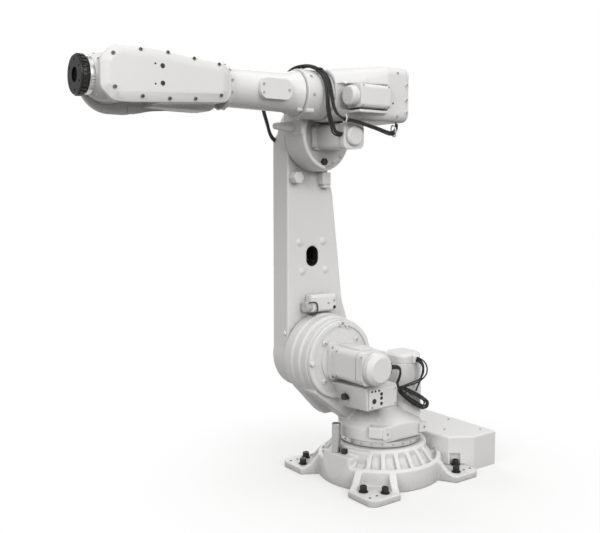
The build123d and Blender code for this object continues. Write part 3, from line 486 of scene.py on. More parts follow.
# %% Turning helper
def turned(shape, place, axis, profile, steps=24):
    spin = Vector(axis).to_track_quat("Z", "Y")
    rings = []
    for radius, height, *flats in profile:
        ring = []
        for step in range(steps if radius else 1):
            angle = 2.0 * math.pi * step / steps
            reach = radius
            if flats:
                half = math.pi / flats[0]
                reach = radius * math.cos(half) / math.cos(angle % (2.0 * half) - half)
            spot = Vector((reach * math.cos(angle), reach * math.sin(angle), height))
            ring.append(shape.verts.new(Vector(place) + spin @ spot))
        rings.append(ring)
    for low, high in zip(rings, rings[1:]):
        for step in range(steps):
            after = (step + 1) % steps
            below = [low[step % len(low)], low[after % len(low)]]
            above = [high[after % len(high)], high[step % len(high)]]
            shape.faces.new(list(dict.fromkeys(below + above)))


SMALL = {}
SMALL_FINISH = {
    "screws": (zinc_screw, "bare_metal"),
    "black_screws": (black_screw, "black_plug"),
    "dark_screws": (dark_screw, "bare_metal"),
    "holes": (hole_shade_black, "black_plug"),
    "white_bits": (cover_white, "white_paint"),
    "black_bits": (black_plug, "black_plug")}


def small(body, kind):
    if (body, kind) not in SMALL:
        SMALL[body, kind] = bmesh.new()
    return SMALL[body, kind]


print("turning helper ready,", len(SMALL_FINISH), "finishes for small things")

# %% [markdown]
# A screw has to sit on the piece it holds, from whatever side one looks. Typing its height by hand
# goes wrong as soon as a face leans, so a ray is sent at the solid from outside and the screw
# stands where the ray lands, square to the face. NEAR and FAR are the ways in from those two sides,
# and the other ways are named for where they go. Circles of screws round axes 2 and 3 are set out
# from the joints of the frame.


# %% Seat helper
NEAR = Vector((0.0, -1.0, 0.0))
FAR = Vector((0.0, 1.0, 0.0))
DOWN = Vector((0.0, 0.0, -1.0))
REAR = Vector((-1.0, 0.0, 0.0))
AHEAD = Vector((1.0, 0.0, 0.0))
OUTSIDE = 1.5
surfaces = {}


def seat(node, point, way):
    if node not in surfaces:
        mesh = nodes[node].data
        corners = [vertex.co.copy() for vertex in mesh.vertices]
        surfaces[node] = BVHTree.FromPolygons(corners, [tuple(face.vertices) for face in mesh.polygons])
    place, normal, _, _ = surfaces[node].ray_cast(Vector(point) - OUTSIDE * way, way)
    if place is None:
        raise ValueError(f"nothing of {node} at {tuple(point)}")
    return place, normal


def fit(kind, node, point, way, profile):
    place, normal = seat(node, point, way)
    turned(small(body_of_node(node), kind), place, normal, profile)


def fit_side(kind, node, places, way, profile):
    for x, z in places:
        fit(kind, node, (x, 0.0, z), way, profile)


def cap_screw(r):
    head = [(r, -0.3 * r), (r, 0.55 * r), (0.9 * r, 0.68 * r)]
    socket = [(0.6 * r, 0.68 * r, 6), (0.56 * r, 0.2 * r, 6), (0.0, 0.2 * r)]
    return head + socket


def plug(r):
    rim = [(1.25 * r, -0.2 * r), (1.25 * r, 0.1 * r), (r, 0.16 * r)]
    return rim + [(0.9 * r, 0.02 * r), (0.0, 0.02 * r)]


# A thin dark disc flush with the face: painted shade standing in for the inside of a hole.
def hole_shade_disc(r):
    return [(r, -0.5 * r), (r, 0.0005), (0.0, 0.0006)]


def dome(r, h):
    return [(r, -0.3 * h), (r, 0.35 * h), (0.92 * r, 0.7 * h), (0.7 * r, 0.92 * h), (0.0, h)]


def stud(r, h):
    return [(r, 0.0), (r, h), (0.0, h + 0.0005)]


def spoke(degrees):
    angle = math.radians(degrees)
    return Vector((math.cos(angle), 0.0, math.sin(angle)))


joint_places = {joint["name"]: Vector(joint["pos_m"]) for joint in frame["joints"]}
AXIS2 = joint_places["axis2_swing"]
AXIS3 = joint_places["axis3_lift"]
print("screw, plug, hole, dome and stud profiles ready")

# %% [markdown]
# The wrist covers are held by ten screws each, on the sloping rim. Two blanking plugs and two small
# holes sit in the middle of the left one. The ring behind the wrist, the tube cover and the nose of
# the tilt unit have screws too.

# %% Wrist and forearm screws
FORE_Z = (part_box("forearm_tube")[0].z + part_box("forearm_tube")[1].z) / 2.0
COVER_SCREWS = [(1.601, 2.146), (1.476, 2.174), (1.348, 2.174), (1.221, 2.160), (1.095, 2.146),
                (1.600, 2.010), (1.474, 1.981), (1.345, 1.980), (1.219, 1.987), (1.092, 2.010)]
COVER_PLUGS = [(1.382, 2.113), (1.382, 2.040)]
COVER_HOLES = [(1.416, 2.120), (1.416, 2.035)]
TUBE_COVER_SCREWS = [(0.846, 2.082), (0.846, 2.044), (0.699, 2.063)]
fit_side("dark_screws", "wrist_cover_left", COVER_SCREWS, NEAR, cap_screw(0.008))
fit_side("dark_screws", "wrist_cover_right", COVER_SCREWS, FAR, cap_screw(0.008))
fit_side("black_bits", "wrist_cover_left", COVER_PLUGS, NEAR, plug(0.0085))
# The two small holes are dark discs of painted shade.
fit_side("holes", "wrist_cover_left", COVER_HOLES, NEAR, hole_shade_disc(0.0042))
fit_side("screws", "forearm_cover", TUBE_COVER_SCREWS, NEAR, cap_screw(0.006))


def around_x(node, x, count, first, profile):
    for number in range(count):
        angle = math.radians(first) + 2.0 * math.pi * number / count
        inward = Vector((0.0, -math.cos(angle), -math.sin(angle)))
        fit("screws", node, (x, 0.0, FORE_Z), inward, profile)


around_x("wrist_ring", x=1.012, count=12, first=12.0, profile=cap_screw(0.007))
around_x("elbow_casting", x=0.556, count=8, first=-6.0, profile=cap_screw(0.007))
around_x("tilt_housing", x=1.638, count=10, first=9.0, profile=cap_screw(0.005))
print("cover screws:", 2 * len(COVER_SCREWS))

# %% [markdown]
# Axis 4 ends in a stop: one white bumper on the tube runs against another under the elbow. A thin
# lip closes the seam between them.

# %% Seam of axis 4
SEAM_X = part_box("forearm_tube")[0].x
TUBE_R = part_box("elbow_casting")[1].z - FORE_Z
ELBOW_BUMPER = Vector((SEAM_X - 0.052, 0.086, 1.977))
TUBE_BUMPER = Vector((SEAM_X + 0.006, 0.072, 1.979))
elbow_bumper = [(0.0, 0.0), (0.011, 0.0), (0.0135, 0.003), (0.0135, 0.043), (0.011, 0.046), (0.0, 0.046)]
tube_bumper = [(0.0, 0.0), (0.008, 0.0), (0.010, 0.003), (0.010, 0.026), (0.007, 0.030), (0.0, 0.030)]
seam_lip = [(TUBE_R - 0.014, 0.0002), (TUBE_R - 0.0035, 0.0002), (TUBE_R - 0.0028, 0.0012),
            (TUBE_R - 0.014, 0.0012)]
turned(small("upper_arm", "white_bits"), ELBOW_BUMPER, AHEAD, elbow_bumper)
turned(small("forearm", "white_bits"), TUBE_BUMPER, AHEAD, tube_bumper)
turned(small("upper_arm", "white_bits"), (SEAM_X, 0.0, FORE_Z), AHEAD, seam_lip, steps=72)
print("seam at", round(SEAM_X, 3))

# %% [markdown]
# The elbow: screws on the motor flange, round the gear housing and on the rear housing with its
# cover.

# %% Elbow screws
MOTOR3_SCREWS = [(x, z) for x in (0.214, 0.386) for z in (1.808, 1.918)]
GEAR3_SCREW_R = 0.152
HOUSING_SCREWS = [(0.100, 2.180), (0.100, 1.962), (0.380, 2.120)]
HOUSING_STUDS = [(0.040, 2.125), (0.040, 2.049), (0.040, 1.985)]
MOTOR4_SCREWS = [(x, z) for x in (0.178, 0.346) for z in (2.100, 2.004)]
GEAR3_SCREW_ANGLES = (205, 228, 251, 297, 320)
REAR_COVER_SCREWS = [(-0.110, 1.965), (-0.110, 2.075), (-0.110, 2.185), (0.196, 1.965), (0.196, 2.075),
                     (0.196, 2.185), (0.043, 2.190), (0.043, 1.957)]
fit_side("screws", "axis3_motor", MOTOR3_SCREWS, NEAR, cap_screw(0.008))
for degrees in GEAR3_SCREW_ANGLES:
    fit("screws", "axis3_gear_housing", AXIS3 + GEAR3_SCREW_R * spoke(degrees), NEAR, cap_screw(0.007))
fit_side("screws", "rear_housing", HOUSING_SCREWS, NEAR, cap_screw(0.006))
for y, z in REAR_COVER_SCREWS:
    fit("screws", "rear_cover", (0.0, y, z), AHEAD, cap_screw(0.007))
fit_side("white_bits", "rear_housing", HOUSING_STUDS, NEAR, dome(0.011, 0.005))
fit_side("screws", "rear_housing", HOUSING_STUDS, NEAR, stud(0.006, 0.0065))
fit_side("screws", "axis4_motor", MOTOR4_SCREWS, NEAR, cap_screw(0.005))
print("rear cover screws:", len(REAR_COVER_SCREWS))

# %% [markdown]
# The lower arm: the long hole goes deep into the casting and the shade inside it is painted: it gets
# a black lining. A lining is a tube with a floor, made from two equal rims, one at the face and one
# further in. A second helper makes plain blocks with soft edges.


# %% Painted shade lining of the long hole
def mesh_piece(name, shape):
    bmesh.ops.recalc_face_normals(shape, faces=shape.faces)
    mesh = bpy.data.meshes.new(name)
    shape.to_mesh(mesh)
    shape.free()
    mesh.polygons.foreach_set("use_smooth", [True] * len(mesh.polygons))
    mesh.set_sharp_from_angle(angle=math.radians(35))
    piece = bpy.data.objects.new(name, mesh)
    scene.collection.objects.link(piece)
    return piece


def bar(shape, low, high, edge):
    size = Vector(high) - Vector(low)
    middle = (Vector(high) + Vector(low)) / 2.0
    made = bmesh.ops.create_cube(shape, size=1.0, matrix=Matrix.LocRotScale(middle, None, size))
    edges = list({line for corner in made["verts"] for line in corner.link_edges})
    bmesh.ops.bevel(shape, geom=edges, offset=edge, segments=3, affect="EDGES", profile=0.5)


def wall(shape, first_rim, second_rim):
    count = len(first_rim)
    for step in range(count):
        after = (step + 1) % count
        shape.faces.new([first_rim[step], first_rim[after], second_rim[after], second_rim[step]])


OVAL = Vector((0.298, -0.2358, 1.220))
OVAL_R, OVAL_LIFT, OVAL_DEEP = 0.0380, 0.0165, 0.1080
OVAL_STEPS = 48
# The black lining is painted shade deep inside the hole.
shade_lining = bmesh.new()
rims = []
for back in (0.0, OVAL_DEEP):
    rim = []
    for step in range(OVAL_STEPS):
        angle = 2.0 * math.pi * (step + 0.5) / OVAL_STEPS
        lift = math.copysign(OVAL_LIFT, math.sin(angle))
        spot = Vector((OVAL_R * math.cos(angle), -back, OVAL_R * math.sin(angle) + lift))
        rim.append(shade_lining.verts.new(OVAL + spot))
    rims.append(rim)
wall(shade_lining, *rims)
shade_lining.faces.new(rims[1])
dress(mesh_piece("oval_hole_shade_lining", shade_lining), hole_shade_black, "black_plug", "lower_arm")
print("shade_lining", OVAL_DEEP, "m deep")

# %% [markdown]
# The lower stop has a threaded hole and two screws, and a boss sits on the arm's front. A small
# bracket below the elbow carries the stop of axis 3. On the far side a circle of screws at each hub
# holds the arm to its two gears.

# %% Stops and hub screws of the lower arm
STOP_HOLE = [(0.190, 0.934)]
STOP_SCREWS = [(0.232, 0.960), (0.193, 0.972)]
ARM_BOSS = (0.0, -0.262, 0.801)
BRACKET_LOW, BRACKET_HIGH = (0.204, -0.245, 1.616), (0.262, -0.190, 1.682)
BRACKET_SCREWS = [(0.204, -0.206, 1.640), (0.204, -0.206, 1.666)]
BUFFER_LOW, BUFFER_HIGH = (0.200, -0.240, 1.596), (0.246, -0.196, 1.622)
HUB_SCREWS = [(AXIS2, 0.128, 12), (AXIS3, 0.086, 10)]
# The threaded hole is a dark disc of painted shade.
fit_side("holes", "lower_stop_block", STOP_HOLE, NEAR, hole_shade_disc(0.010))
fit_side("screws", "lower_stop_block", STOP_SCREWS, NEAR, cap_screw(0.006))
fit("white_bits", "lower_arm_casting", ARM_BOSS, REAR, dome(0.013, 0.010))
bar(small("lower_arm", "white_bits"), BRACKET_LOW, BRACKET_HIGH, 0.005)
bar(small("lower_arm", "white_bits"), BUFFER_LOW, BUFFER_HIGH, 0.006)
for place in BRACKET_SCREWS:
    turned(small("lower_arm", "screws"), place, REAR, cap_screw(0.006))
for hub, reach, count in HUB_SCREWS:
    for number in range(count):
        place = hub + reach * spoke(360.0 * (number + 0.5) / count)
        fit("screws", "lower_arm_casting", place, FAR, cap_screw(0.010))
print("hub screws:", sum(count for _, _, count in HUB_SCREWS))

# %% [markdown]
# Axis 2: screws on the bosses of the gear cover, on the motor's flange and on its bell. The motor
# has a raised plate along its top.

# %% Axis 2 details
BOSS_R = 0.199
FLANGE_SCREW_R = 0.112
COVER_DOMES = [(0.372, 0.770), (0.372, 0.562), (0.154, 0.770), (0.212, 0.848)]
PLATE_LOW, PLATE_HIGH = (0.216, 0.022, 0.748), (0.308, 0.190, 0.7655)
fit("white_bits", "axis2_gear_cover", AXIS2 + BOSS_R * spoke(0), NEAR, dome(0.014, 0.010))
for degrees in (90, 180):
    fit("screws", "axis2_gear_cover", AXIS2 + BOSS_R * spoke(degrees), NEAR, cap_screw(0.008))
fit_side("white_bits", "axis2_gear_cover", COVER_DOMES, NEAR, dome(0.016, 0.010))
fit_side("screws", "axis2_gear_cover", COVER_DOMES, NEAR, stud(0.007, 0.0125))
for y in (0.045, 0.245):
    for z in (0.735, 0.605):
        fit("screws", "axis2_motor", (0.0, y, z), REAR, cap_screw(0.005))
for degrees in (45, 135, 225, 315):
    fit("screws", "axis2_motor", AXIS2 + FLANGE_SCREW_R * spoke(degrees), NEAR, cap_screw(0.006))
bar(small("frame", "white_bits"), PLATE_LOW, PLATE_HIGH, 0.003)
print("domes on the gear cover:", len(COVER_DOMES))

# %% [markdown]
# Axis 4's motor stands on a narrow foot that is bolted to the housing behind it, with an air gap
# between foot and motor. Two black blocks fill the ends of that gap as painted shadow. A short round
# boss on the front of the elbow keeps the far lead off the arm.

# %% Foot of motor 4 and boss of the elbow
MOTOR4_LOW, MOTOR4_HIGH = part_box("axis4_motor")
FOOT_GAP, FOOT_T = 0.009, 0.014
FOOT_BACK, FOOT_FRONT = 0.120, MOTOR4_HIGH.y - 0.014
GAP_SHADE_W, GAP_SHADE_BACK, GAP_SHADE_FRONT = 0.026, 0.170, MOTOR4_HIGH.y - 0.030
BOSS_Y, BOSS_Z = -0.150, 1.914
foot_top = MOTOR4_LOW.z - FOOT_GAP
foot_low = (MOTOR4_LOW.x + 0.012, FOOT_BACK, foot_top - FOOT_T)
foot_high = (MOTOR4_HIGH.x - 0.004, FOOT_FRONT, foot_top)
bar(small("upper_arm", "white_bits"), foot_low, foot_high, 0.003)
# Black blocks in the gap between foot and motor: painted shadow.
for x in (MOTOR4_LOW.x + 0.016, MOTOR4_HIGH.x - 0.036):
    gap_shade_low = (x, GAP_SHADE_BACK, foot_top - 0.001)
    gap_shade_high = (x + GAP_SHADE_W, GAP_SHADE_FRONT, MOTOR4_LOW.z + 0.004)
    bar(small("upper_arm", "black_bits"), gap_shade_low, gap_shade_high, 0.001)
# A dark disc of painted shade marks a hole in the rear housing.
fit_side("holes", "rear_housing", [(0.131, 2.026)], NEAR, hole_shade_disc(0.005))
boss_root, _ = seat("elbow_casting", (0.0, BOSS_Y, BOSS_Z), REAR)
boss = [(0.030, -0.010), (0.027, 0.020), (0.024, 0.060), (0.016, 0.108), (0.013, 0.112), (0.0, 0.112)]
turned(small("upper_arm", "white_bits"), boss_root, AHEAD, boss)
print("foot", round(foot_top, 3), "m up")

# %% [markdown]
# The terminal plate under the motor carries three sockets in a row, three in a column and one large
# one. In use air and signal lines start here, and unused ones are closed with dark caps.

# %% Terminal plate
SOCKET_ROW = [(0.246, 0.536), (0.222, 0.536), (0.198, 0.536)]
SOCKET_COLUMN = [(0.180, 0.516), (0.180, 0.494), (0.180, 0.465)]
LARGE_SOCKET = [(0.230, 0.483)]
PLATE_SCREWS = [(0.082, 0.452), (0.082, 0.534), (0.246, 0.452)]
# The three open sockets of the row are dark discs of painted shade.
fit_side("holes", "terminal_plate", SOCKET_ROW, NEAR, hole_shade_disc(0.0062))
fit_side("black_bits", "terminal_plate", SOCKET_COLUMN, NEAR, plug(0.0075))
fit_side("black_bits", "terminal_plate", LARGE_SOCKET, NEAR, plug(0.011))
fit_side("screws", "terminal_plate", PLATE_SCREWS, NEAR, cap_screw(0.005))
print("sockets:", len(SOCKET_ROW) + len(SOCKET_COLUMN) + len(LARGE_SOCKET))

# %% [markdown]
# The base: black anchor screws with thick washers hold the four feet to the floor, with two dowel
# holes beside them. Small screws run round the turntable ring and hold the box and its panel.

# %% Base details
FOOT_PLATE = 0.036
ANCHOR_LONG, ANCHOR_SHORT = 0.342, 0.263
DOWEL_LONG, DOWEL_HALF = 0.345, 0.024
RING_SCREWS, RING_Z = 24, 0.221
BOX_SCREWS = [(-0.560, -0.250), (-0.560, 0.250), (-0.390, 0.129), (-0.560, 0.0)]


def anchor_screw(r):
    washer = [(1.34 * r, 0.0), (1.34 * r, 0.24 * r), (1.28 * r, 0.3 * r), (r, 0.3 * r)]
    head = [(r, 1.62 * r), (0.92 * r, 1.75 * r)]
    socket = [(0.55 * r, 1.75 * r, 6), (0.52 * r, 0.95 * r, 6), (0.0, 0.95 * r)]
    return washer + head + socket


for side_x in (-1, 1):
    for side_y in (-1, 1):
        for x, y in ((ANCHOR_LONG, ANCHOR_SHORT), (ANCHOR_SHORT, ANCHOR_LONG)):
            place = Vector((side_x * x, side_y * y, FOOT_PLATE))
            turned(small("base", "black_screws"), place, -DOWN, anchor_screw(0.0185))
        # The dowel holes are dark discs of painted shade.
        for shift in (-DOWEL_HALF, DOWEL_HALF):
            place = Vector((side_x * (DOWEL_LONG + shift), side_y * DOWEL_LONG, FOOT_PLATE))
            turned(small("base", "holes"), place, -DOWN, hole_shade_disc(0.0068))
for number in range(RING_SCREWS):
    angle = 2.0 * math.pi * (number + 0.5) / RING_SCREWS
    inward = Vector((-math.cos(angle), -math.sin(angle), 0.0))
    fit("screws", "turntable_ring", (0.0, 0.0, RING_Z), inward, cap_screw(0.0055))
for x, y in BOX_SCREWS:
    fit("screws", "connector_box", (x, y, 0.0), DOWN, cap_screw(0.006))
for y in (-0.138, 0.138):
    for z in (0.058, 0.152):
        fit("screws", "connector_panel", (0.0, y, z), AHEAD, cap_screw(0.005))
print("anchor screws: 8, ring screws:", RING_SCREWS)

# %% [markdown]
# The tool flange has a rim like a coin's, cut by notches. They could be cut out of the solid, but
# each land between two notches is a plain block, so a loop places the lands instead.

# %% Flange rim
LANDS = 26
LAND_SIZE = (0.024, 0.0145, 0.008)
LAND_EDGE = 0.0012


def block_on_ring(shape, x, reach, angle, size):
    roll = Matrix.Rotation(angle, 4, "X")
    lift = Matrix.Translation((x, 0.0, FORE_Z)) @ roll @ Matrix.Translation((0.0, 0.0, reach))
    bmesh.ops.create_cube(shape, size=1.0, matrix=lift @ Matrix.Diagonal((*size, 1.0)))


flange_low, flange_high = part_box("tool_flange")
flange_x = (flange_low.x + flange_high.x) / 2.0
flange_r = (flange_high.y - flange_low.y) / 2.0
lands = bmesh.new()
for number in range(LANDS):
    block_on_ring(lands, flange_x, flange_r, 2.0 * math.pi * number / LANDS, LAND_SIZE)
bmesh.ops.bevel(lands, geom=lands.edges[:], offset=LAND_EDGE, segments=2, affect="EDGES", profile=0.5)
dress(mesh_piece("flange_rim", lands), black_flange, "black_flange", "flange")
print("flange rim with", LANDS, "lands")

# %% [markdown]
# On the real wrist a short row of ribs shows beside the flange, on the ring that the tilt unit ends
# in. Below, the far cheek of the fork runs down into the round hub of axis 5 in a long curve, and a
# keel fills that curve.

# %% Ribs of the tilt unit and keel of the wrist
RIB_SIZE = (0.016, 0.007, 0.006)
RIBS, FIRST_RIB, RIB_STEP = 6, -95.0, -9.0
KEEL_FAR, KEEL_NEAR = -0.1165, -0.0935
KEEL_EDGE = [(1.440, 1.9280), (1.410, 1.9255), (1.380, 1.931), (1.360, 1.936), (1.336, 1.941),
             (1.308, 1.945), (1.262, 1.9485), (1.235, 1.9600), (1.440, 1.9600)]
ring_low, ring_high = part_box("tilt_ring")
ring_x = (ring_low.x + ring_high.x) / 2.0
ring_r = (ring_high.y - ring_low.y) / 2.0
tilt_body = body_of_node("tilt_ring")
for number in range(RIBS):
    angle = math.radians(FIRST_RIB + RIB_STEP * number)
    block_on_ring(small(tilt_body, "white_bits"), ring_x - 0.002, ring_r, angle, RIB_SIZE)
keel = bmesh.new()
keel_rims = []
for y in (KEEL_FAR, KEEL_NEAR):
    keel_rims.append([keel.verts.new((x, y, z)) for x, z in KEEL_EDGE])
    keel.faces.new(keel_rims[-1])
wall(keel, *keel_rims)
dress(mesh_piece("wrist_keel", keel), cast_white, "white_paint", "forearm")
print("ribs on", tilt_body, "and keel under the wrist")

# %% [markdown]
# Now the small things of each body become pieces, one for each finish.

# %% Gather the small things
for (body, kind), shape in SMALL.items():
    material, slot = SMALL_FINISH[kind]
    piece = dress(mesh_piece(f"{body}_{kind}", shape), material, slot, body)
    print(piece.name, len(piece.data.polygons), "faces")

# %% [markdown]
# The leads. Each is a smooth spline through the air between two clamps, at the points where its
# solid runs. A motor has a power lead and a signal lead, tied together, so every route carries more
# than one strand: the others are the same route, shifted a little at its start and at its end.


# %% Leads
def tube(name, routes, radius, sides=5, closed=False):
    curve = bpy.data.curves.new(name, "CURVE")
    curve.dimensions = "3D"
    curve.bevel_depth = radius
    curve.bevel_resolution = sides
    curve.use_fill_caps = not closed
    for route in routes:
        spline = curve.splines.new("NURBS")
        spline.points.add(len(route) - 1)
        for point, place in zip(spline.points, route):
            point.co = (*place, 1.0)
        spline.order_u = 3
        if closed:
            spline.use_cyclic_u = True
        else:
            spline.use_endpoint_u = True
            spline.resolution_u = 8
    piece = bpy.data.objects.new(name, curve)
    scene.collection.objects.link(piece)
    return piece


def lead(name, body, routes, radius, *replaced):
    return dress(tube(name, routes, radius), cable_jacket, "cable", body, *replaced)


def strand(route, first, last):
    count = len(route) - 1
    shifts = [Vector(first).lerp(Vector(last), number / count) for number in range(count + 1)]
    return [Vector(place) + shift for place, shift in zip(route, shifts)]


def pair(route, first, last):
    return [strand(route, first, last), strand(route, -Vector(first), -Vector(last))]


AXIS3_LEAD = [
    (0.570, -0.130, 2.162), (0.570, -0.104, 2.162), (0.568, -0.066, 2.188), (0.556, -0.018, 2.204),
    (0.532, 0.030, 2.203), (0.510, 0.076, 2.184), (0.498, 0.114, 2.148), (0.496, 0.137, 2.096),
    (0.497, 0.146, 2.042), (0.492, 0.144, 1.990), (0.474, 0.134, 1.945), (0.442, 0.116, 1.905),
    (0.412, 0.098, 1.863), (0.367, 0.098, 1.863)]
AXIS4_LEAD = [
    (0.545, -0.130, 2.162), (0.545, -0.104, 2.162), (0.542, -0.066, 2.188), (0.528, -0.018, 2.204),
    (0.502, 0.030, 2.203), (0.480, 0.076, 2.184), (0.471, 0.114, 2.148), (0.470, 0.138, 2.096),
    (0.468, 0.150, 2.042), (0.462, 0.157, 1.992), (0.440, 0.162, 1.954), (0.394, 0.162, 1.939),
    (0.340, 0.162, 1.934), (0.285, 0.162, 1.926), (0.230, 0.162, 1.914), (0.178, 0.162, 1.904),
    (0.128, 0.162, 1.891), (0.086, 0.162, 1.881), (0.056, 0.162, 1.889), (0.046, 0.162, 1.911),
    (0.046, 0.162, 1.935)]
AXIS2_LEAD = [
    (0.133, 0.222, 0.655), (0.084, 0.224, 0.655), (0.050, 0.222, 0.634), (0.038, 0.200, 0.586),
    (0.018, 0.152, 0.530), (-0.010, 0.144, 0.505)]
AXIS1_LEAD = [
    (-0.166, 0.124, 0.641), (-0.166, 0.152, 0.641), (-0.176, 0.166, 0.606), (-0.174, 0.160, 0.560),
    (-0.1636, 0.144, 0.5097), (-0.1405, 0.144, 0.4711)]
STOP_WIRE = [
    (0.372, -0.166, 0.972), (0.350, -0.164, 0.974), (0.322, -0.166, 0.970), (0.314, -0.166, 0.952),
    (0.314, -0.164, 0.932), (0.322, -0.162, 0.912), (0.344, -0.160, 0.902), (0.374, -0.162, 0.906)]
LEAD_R, STRAND_R, WIRE_R = 0.0050, 0.0042, 0.0035
LEADS = {
    "axis3_lead": ("upper_arm", AXIS3_LEAD, (0.006, 0.0, 0.001), (-0.003, 0.006, 0.003)),
    "axis4_lead": ("upper_arm", AXIS4_LEAD, (0.006, 0.0, -0.001), (0.0, -0.005, 0.005)),
    "axis2_lead": ("frame", AXIS2_LEAD, (0.0, 0.0, 0.0055), (0.003, 0.005, 0.0)),
    "axis1_lead": ("frame", AXIS1_LEAD, (0.0055, 0.0, 0.0), (0.004, 0.004, 0.0))}
for node, (body, route, first, last) in LEADS.items():
    lead(node + "_whole", body, pair(route, first, last), LEAD_R, node)
elbow_strands = [
    strand(AXIS3_LEAD, (-0.014, 0.0, 0.003), (0.006, 0.022, 0.010)),
    strand(AXIS4_LEAD[:-2], (-0.018, 0.002, 0.002), (0.012, 0.008, -0.014))]
lead("elbow_strands", "upper_arm", elbow_strands, STRAND_R)
lead("stop_wire", "lower_arm", [STOP_WIRE], WIRE_R)
print("leads:", len(LEADS), "pairs,", len(elbow_strands), "single strands and a wire")

# %% [markdown]
# On the far side one lead leaves the upper arm, hangs past the elbow and goes on down the lower
# arm. It crosses axis 3, so it can belong to neither arm alone: its mesh is blended, and winds
# round the axis as the elbow bends.

# %% Far lead over axis 3
FAR_LEAD = [
    (0.560, -0.130, 2.150), (0.580, -0.210, 2.130), (0.590, -0.280, 2.080), (0.582, -0.304, 2.020),
    (0.564, -0.306, 1.970), (0.544, -0.312, 1.930), (0.522, -0.330, 1.896), (0.492, -0.352, 1.868),
    (0.456, -0.364, 1.846), (0.418, -0.366, 1.830), (0.380, -0.366, 1.820)]
FAR_LEAD_R = 0.0072
far_beside = strand(FAR_LEAD, (-0.004, 0.006, 0.008), (0.004, 0.0, 0.014))
far_curve = tube("far_lead_line", [FAR_LEAD, far_beside], FAR_LEAD_R)
far_mesh = bpy.data.meshes.new_from_object(far_curve)
bpy.data.objects.remove(far_curve)
far_lead = bpy.data.objects.new("far_lead", far_mesh)
scene.collection.objects.link(far_lead)
far_lead.data.materials.clear()
far_lead.data.materials.append(cable_jacket)
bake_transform(far_lead, "upper_arm", "lower_arm", start=(0.582, -0.304, 2.020), end=(0.492, -0.352, 1.868))
print("far lead", len(far_mesh.polygons), "faces")

# %% [markdown]
# The spare length of the two lower motor leads hangs in a hank below axis 1's motor. It is one
# spline that goes round and round, a little wider or narrower at each turn, and a black tie holds
# it.

# %% Hank
SIDEWAYS = Vector((0.0, 1.0, 0.0))
HANK_TOP = Vector((-0.010, 0.144, 0.505))
HANK_LOW = Vector((-0.232, 0.144, 0.372))
HANK_TURNS, HANK_STEPS = 6, 12
HANK_R, HANK_END = 0.0045, 0.036
FIRST_WIDTH, WIDER = 0.015, 0.0050
WIDTH_SWING, RUN_SWING, LAYER_SWING = 0.002, 0.008, 0.012
hank_along = (HANK_TOP - HANK_LOW).normalized()
hank_across = hank_along.cross(SIDEWAYS)
hank_mid = (HANK_TOP + HANK_LOW) / 2.0
hank_run = (HANK_TOP - HANK_LOW).length / 2.0 - HANK_END
hank_route = []
for number in range(HANK_TURNS * HANK_STEPS + 1):
    turn = number / HANK_STEPS
    angle = 2.0 * math.pi * turn
    open_end = 0.5 - 0.5 * math.cos(angle)
    wide = FIRST_WIDTH + WIDER * turn + WIDTH_SWING * math.sin(2.4 * turn)
    wide = wide * (0.5 + 0.5 * open_end)
    run = hank_run + RUN_SWING * math.sin(1.7 * turn)
    along = run * math.tanh(2.5 * math.cos(angle)) + wide * math.cos(angle)
    across = wide * math.sin(angle)
    layer = LAYER_SWING * math.sin(2.0 * math.pi * turn / 3.0)
    hank_route.append(hank_mid + along * hank_along + across * hank_across + layer * SIDEWAYS)
lead("hank_turns", "frame", [hank_route], HANK_R, "lead_hank")
loose_strands = [
    strand(AXIS2_LEAD, (0.0, -0.003, -0.013), (0.002, 0.012, 0.004)),
    [(-0.166, 0.124, 0.652), (-0.168, 0.150, 0.650), (-0.184, 0.168, 0.632), (-0.198, 0.174, 0.600),
     (-0.194, 0.174, 0.566), (-0.170, 0.168, 0.538), (-0.126, 0.162, 0.520), (-0.076, 0.156, 0.512),
     (-0.030, 0.150, 0.508)],
    [(-0.158, 0.124, 0.634), (-0.160, 0.148, 0.632), (-0.172, 0.160, 0.614), (-0.180, 0.166, 0.588),
     (-0.172, 0.166, 0.560), (-0.148, 0.164, 0.538), (-0.106, 0.160, 0.528), (-0.060, 0.158, 0.522),
     (-0.024, 0.154, 0.512)]]
lead("loose_strands", "frame", loose_strands, STRAND_R)
print("hank of", HANK_TURNS, "turns")

# %% [markdown]
# Cable ties: a closed loop round the bundle. One black tie holds the hank and another the bundle on
# the elbow. A white one holds the end of the axis 4 lead, and a small white clip its middle.


# %% Ties
TIE_STEPS = 12
TIES = {
    "hank_tie_top": ("frame", HANK_TOP - 0.034 * hank_along, hank_along, (0.026, 0.024), 0.003),
    "bundle_tie": ("upper_arm", (0.488, 0.075, 2.181), (-0.034, 0.084, -0.055), (0.034, 0.011), 0.003),
    "lead_end_tie": ("upper_arm", (0.072, 0.168, 1.892), (1.0, 0.0, -0.2), (0.018, 0.030), 0.004),
    "lead_clip": ("upper_arm", (0.400, 0.168, 1.940), (1.0, 0.0, 0.1), (0.016, 0.020), 0.0035)}
WHITE_TIES = ("lead_end_tie", "lead_clip")


def tie_loop(place, along, wide, high):
    turn = Vector(along).to_track_quat("Z", "Y")
    loop = []
    for step in range(TIE_STEPS):
        angle = 2.0 * math.pi * step / TIE_STEPS
        loop.append(Vector(place) + turn @ Vector((wide * math.cos(angle), high * math.sin(angle), 0.0)))
    return loop


for name, (body, place, along, size, radius) in TIES.items():
    piece = tube(name, [tie_loop(place, along, *size)], radius, sides=3, closed=True)
    if name in WHITE_TIES:
        dress(piece, cover_white, "white_paint", body)
    else:
        dress(piece, black_plug, "black_plug", body)
print("ties:", len(TIES))

# %% [markdown]
# The studio has a pale floor. It keeps the shadow near the feet and runs out to white further off.
# Light that bounces off it on to the arm meets a dark floor instead, because a white one would
# light the undersides far too much.

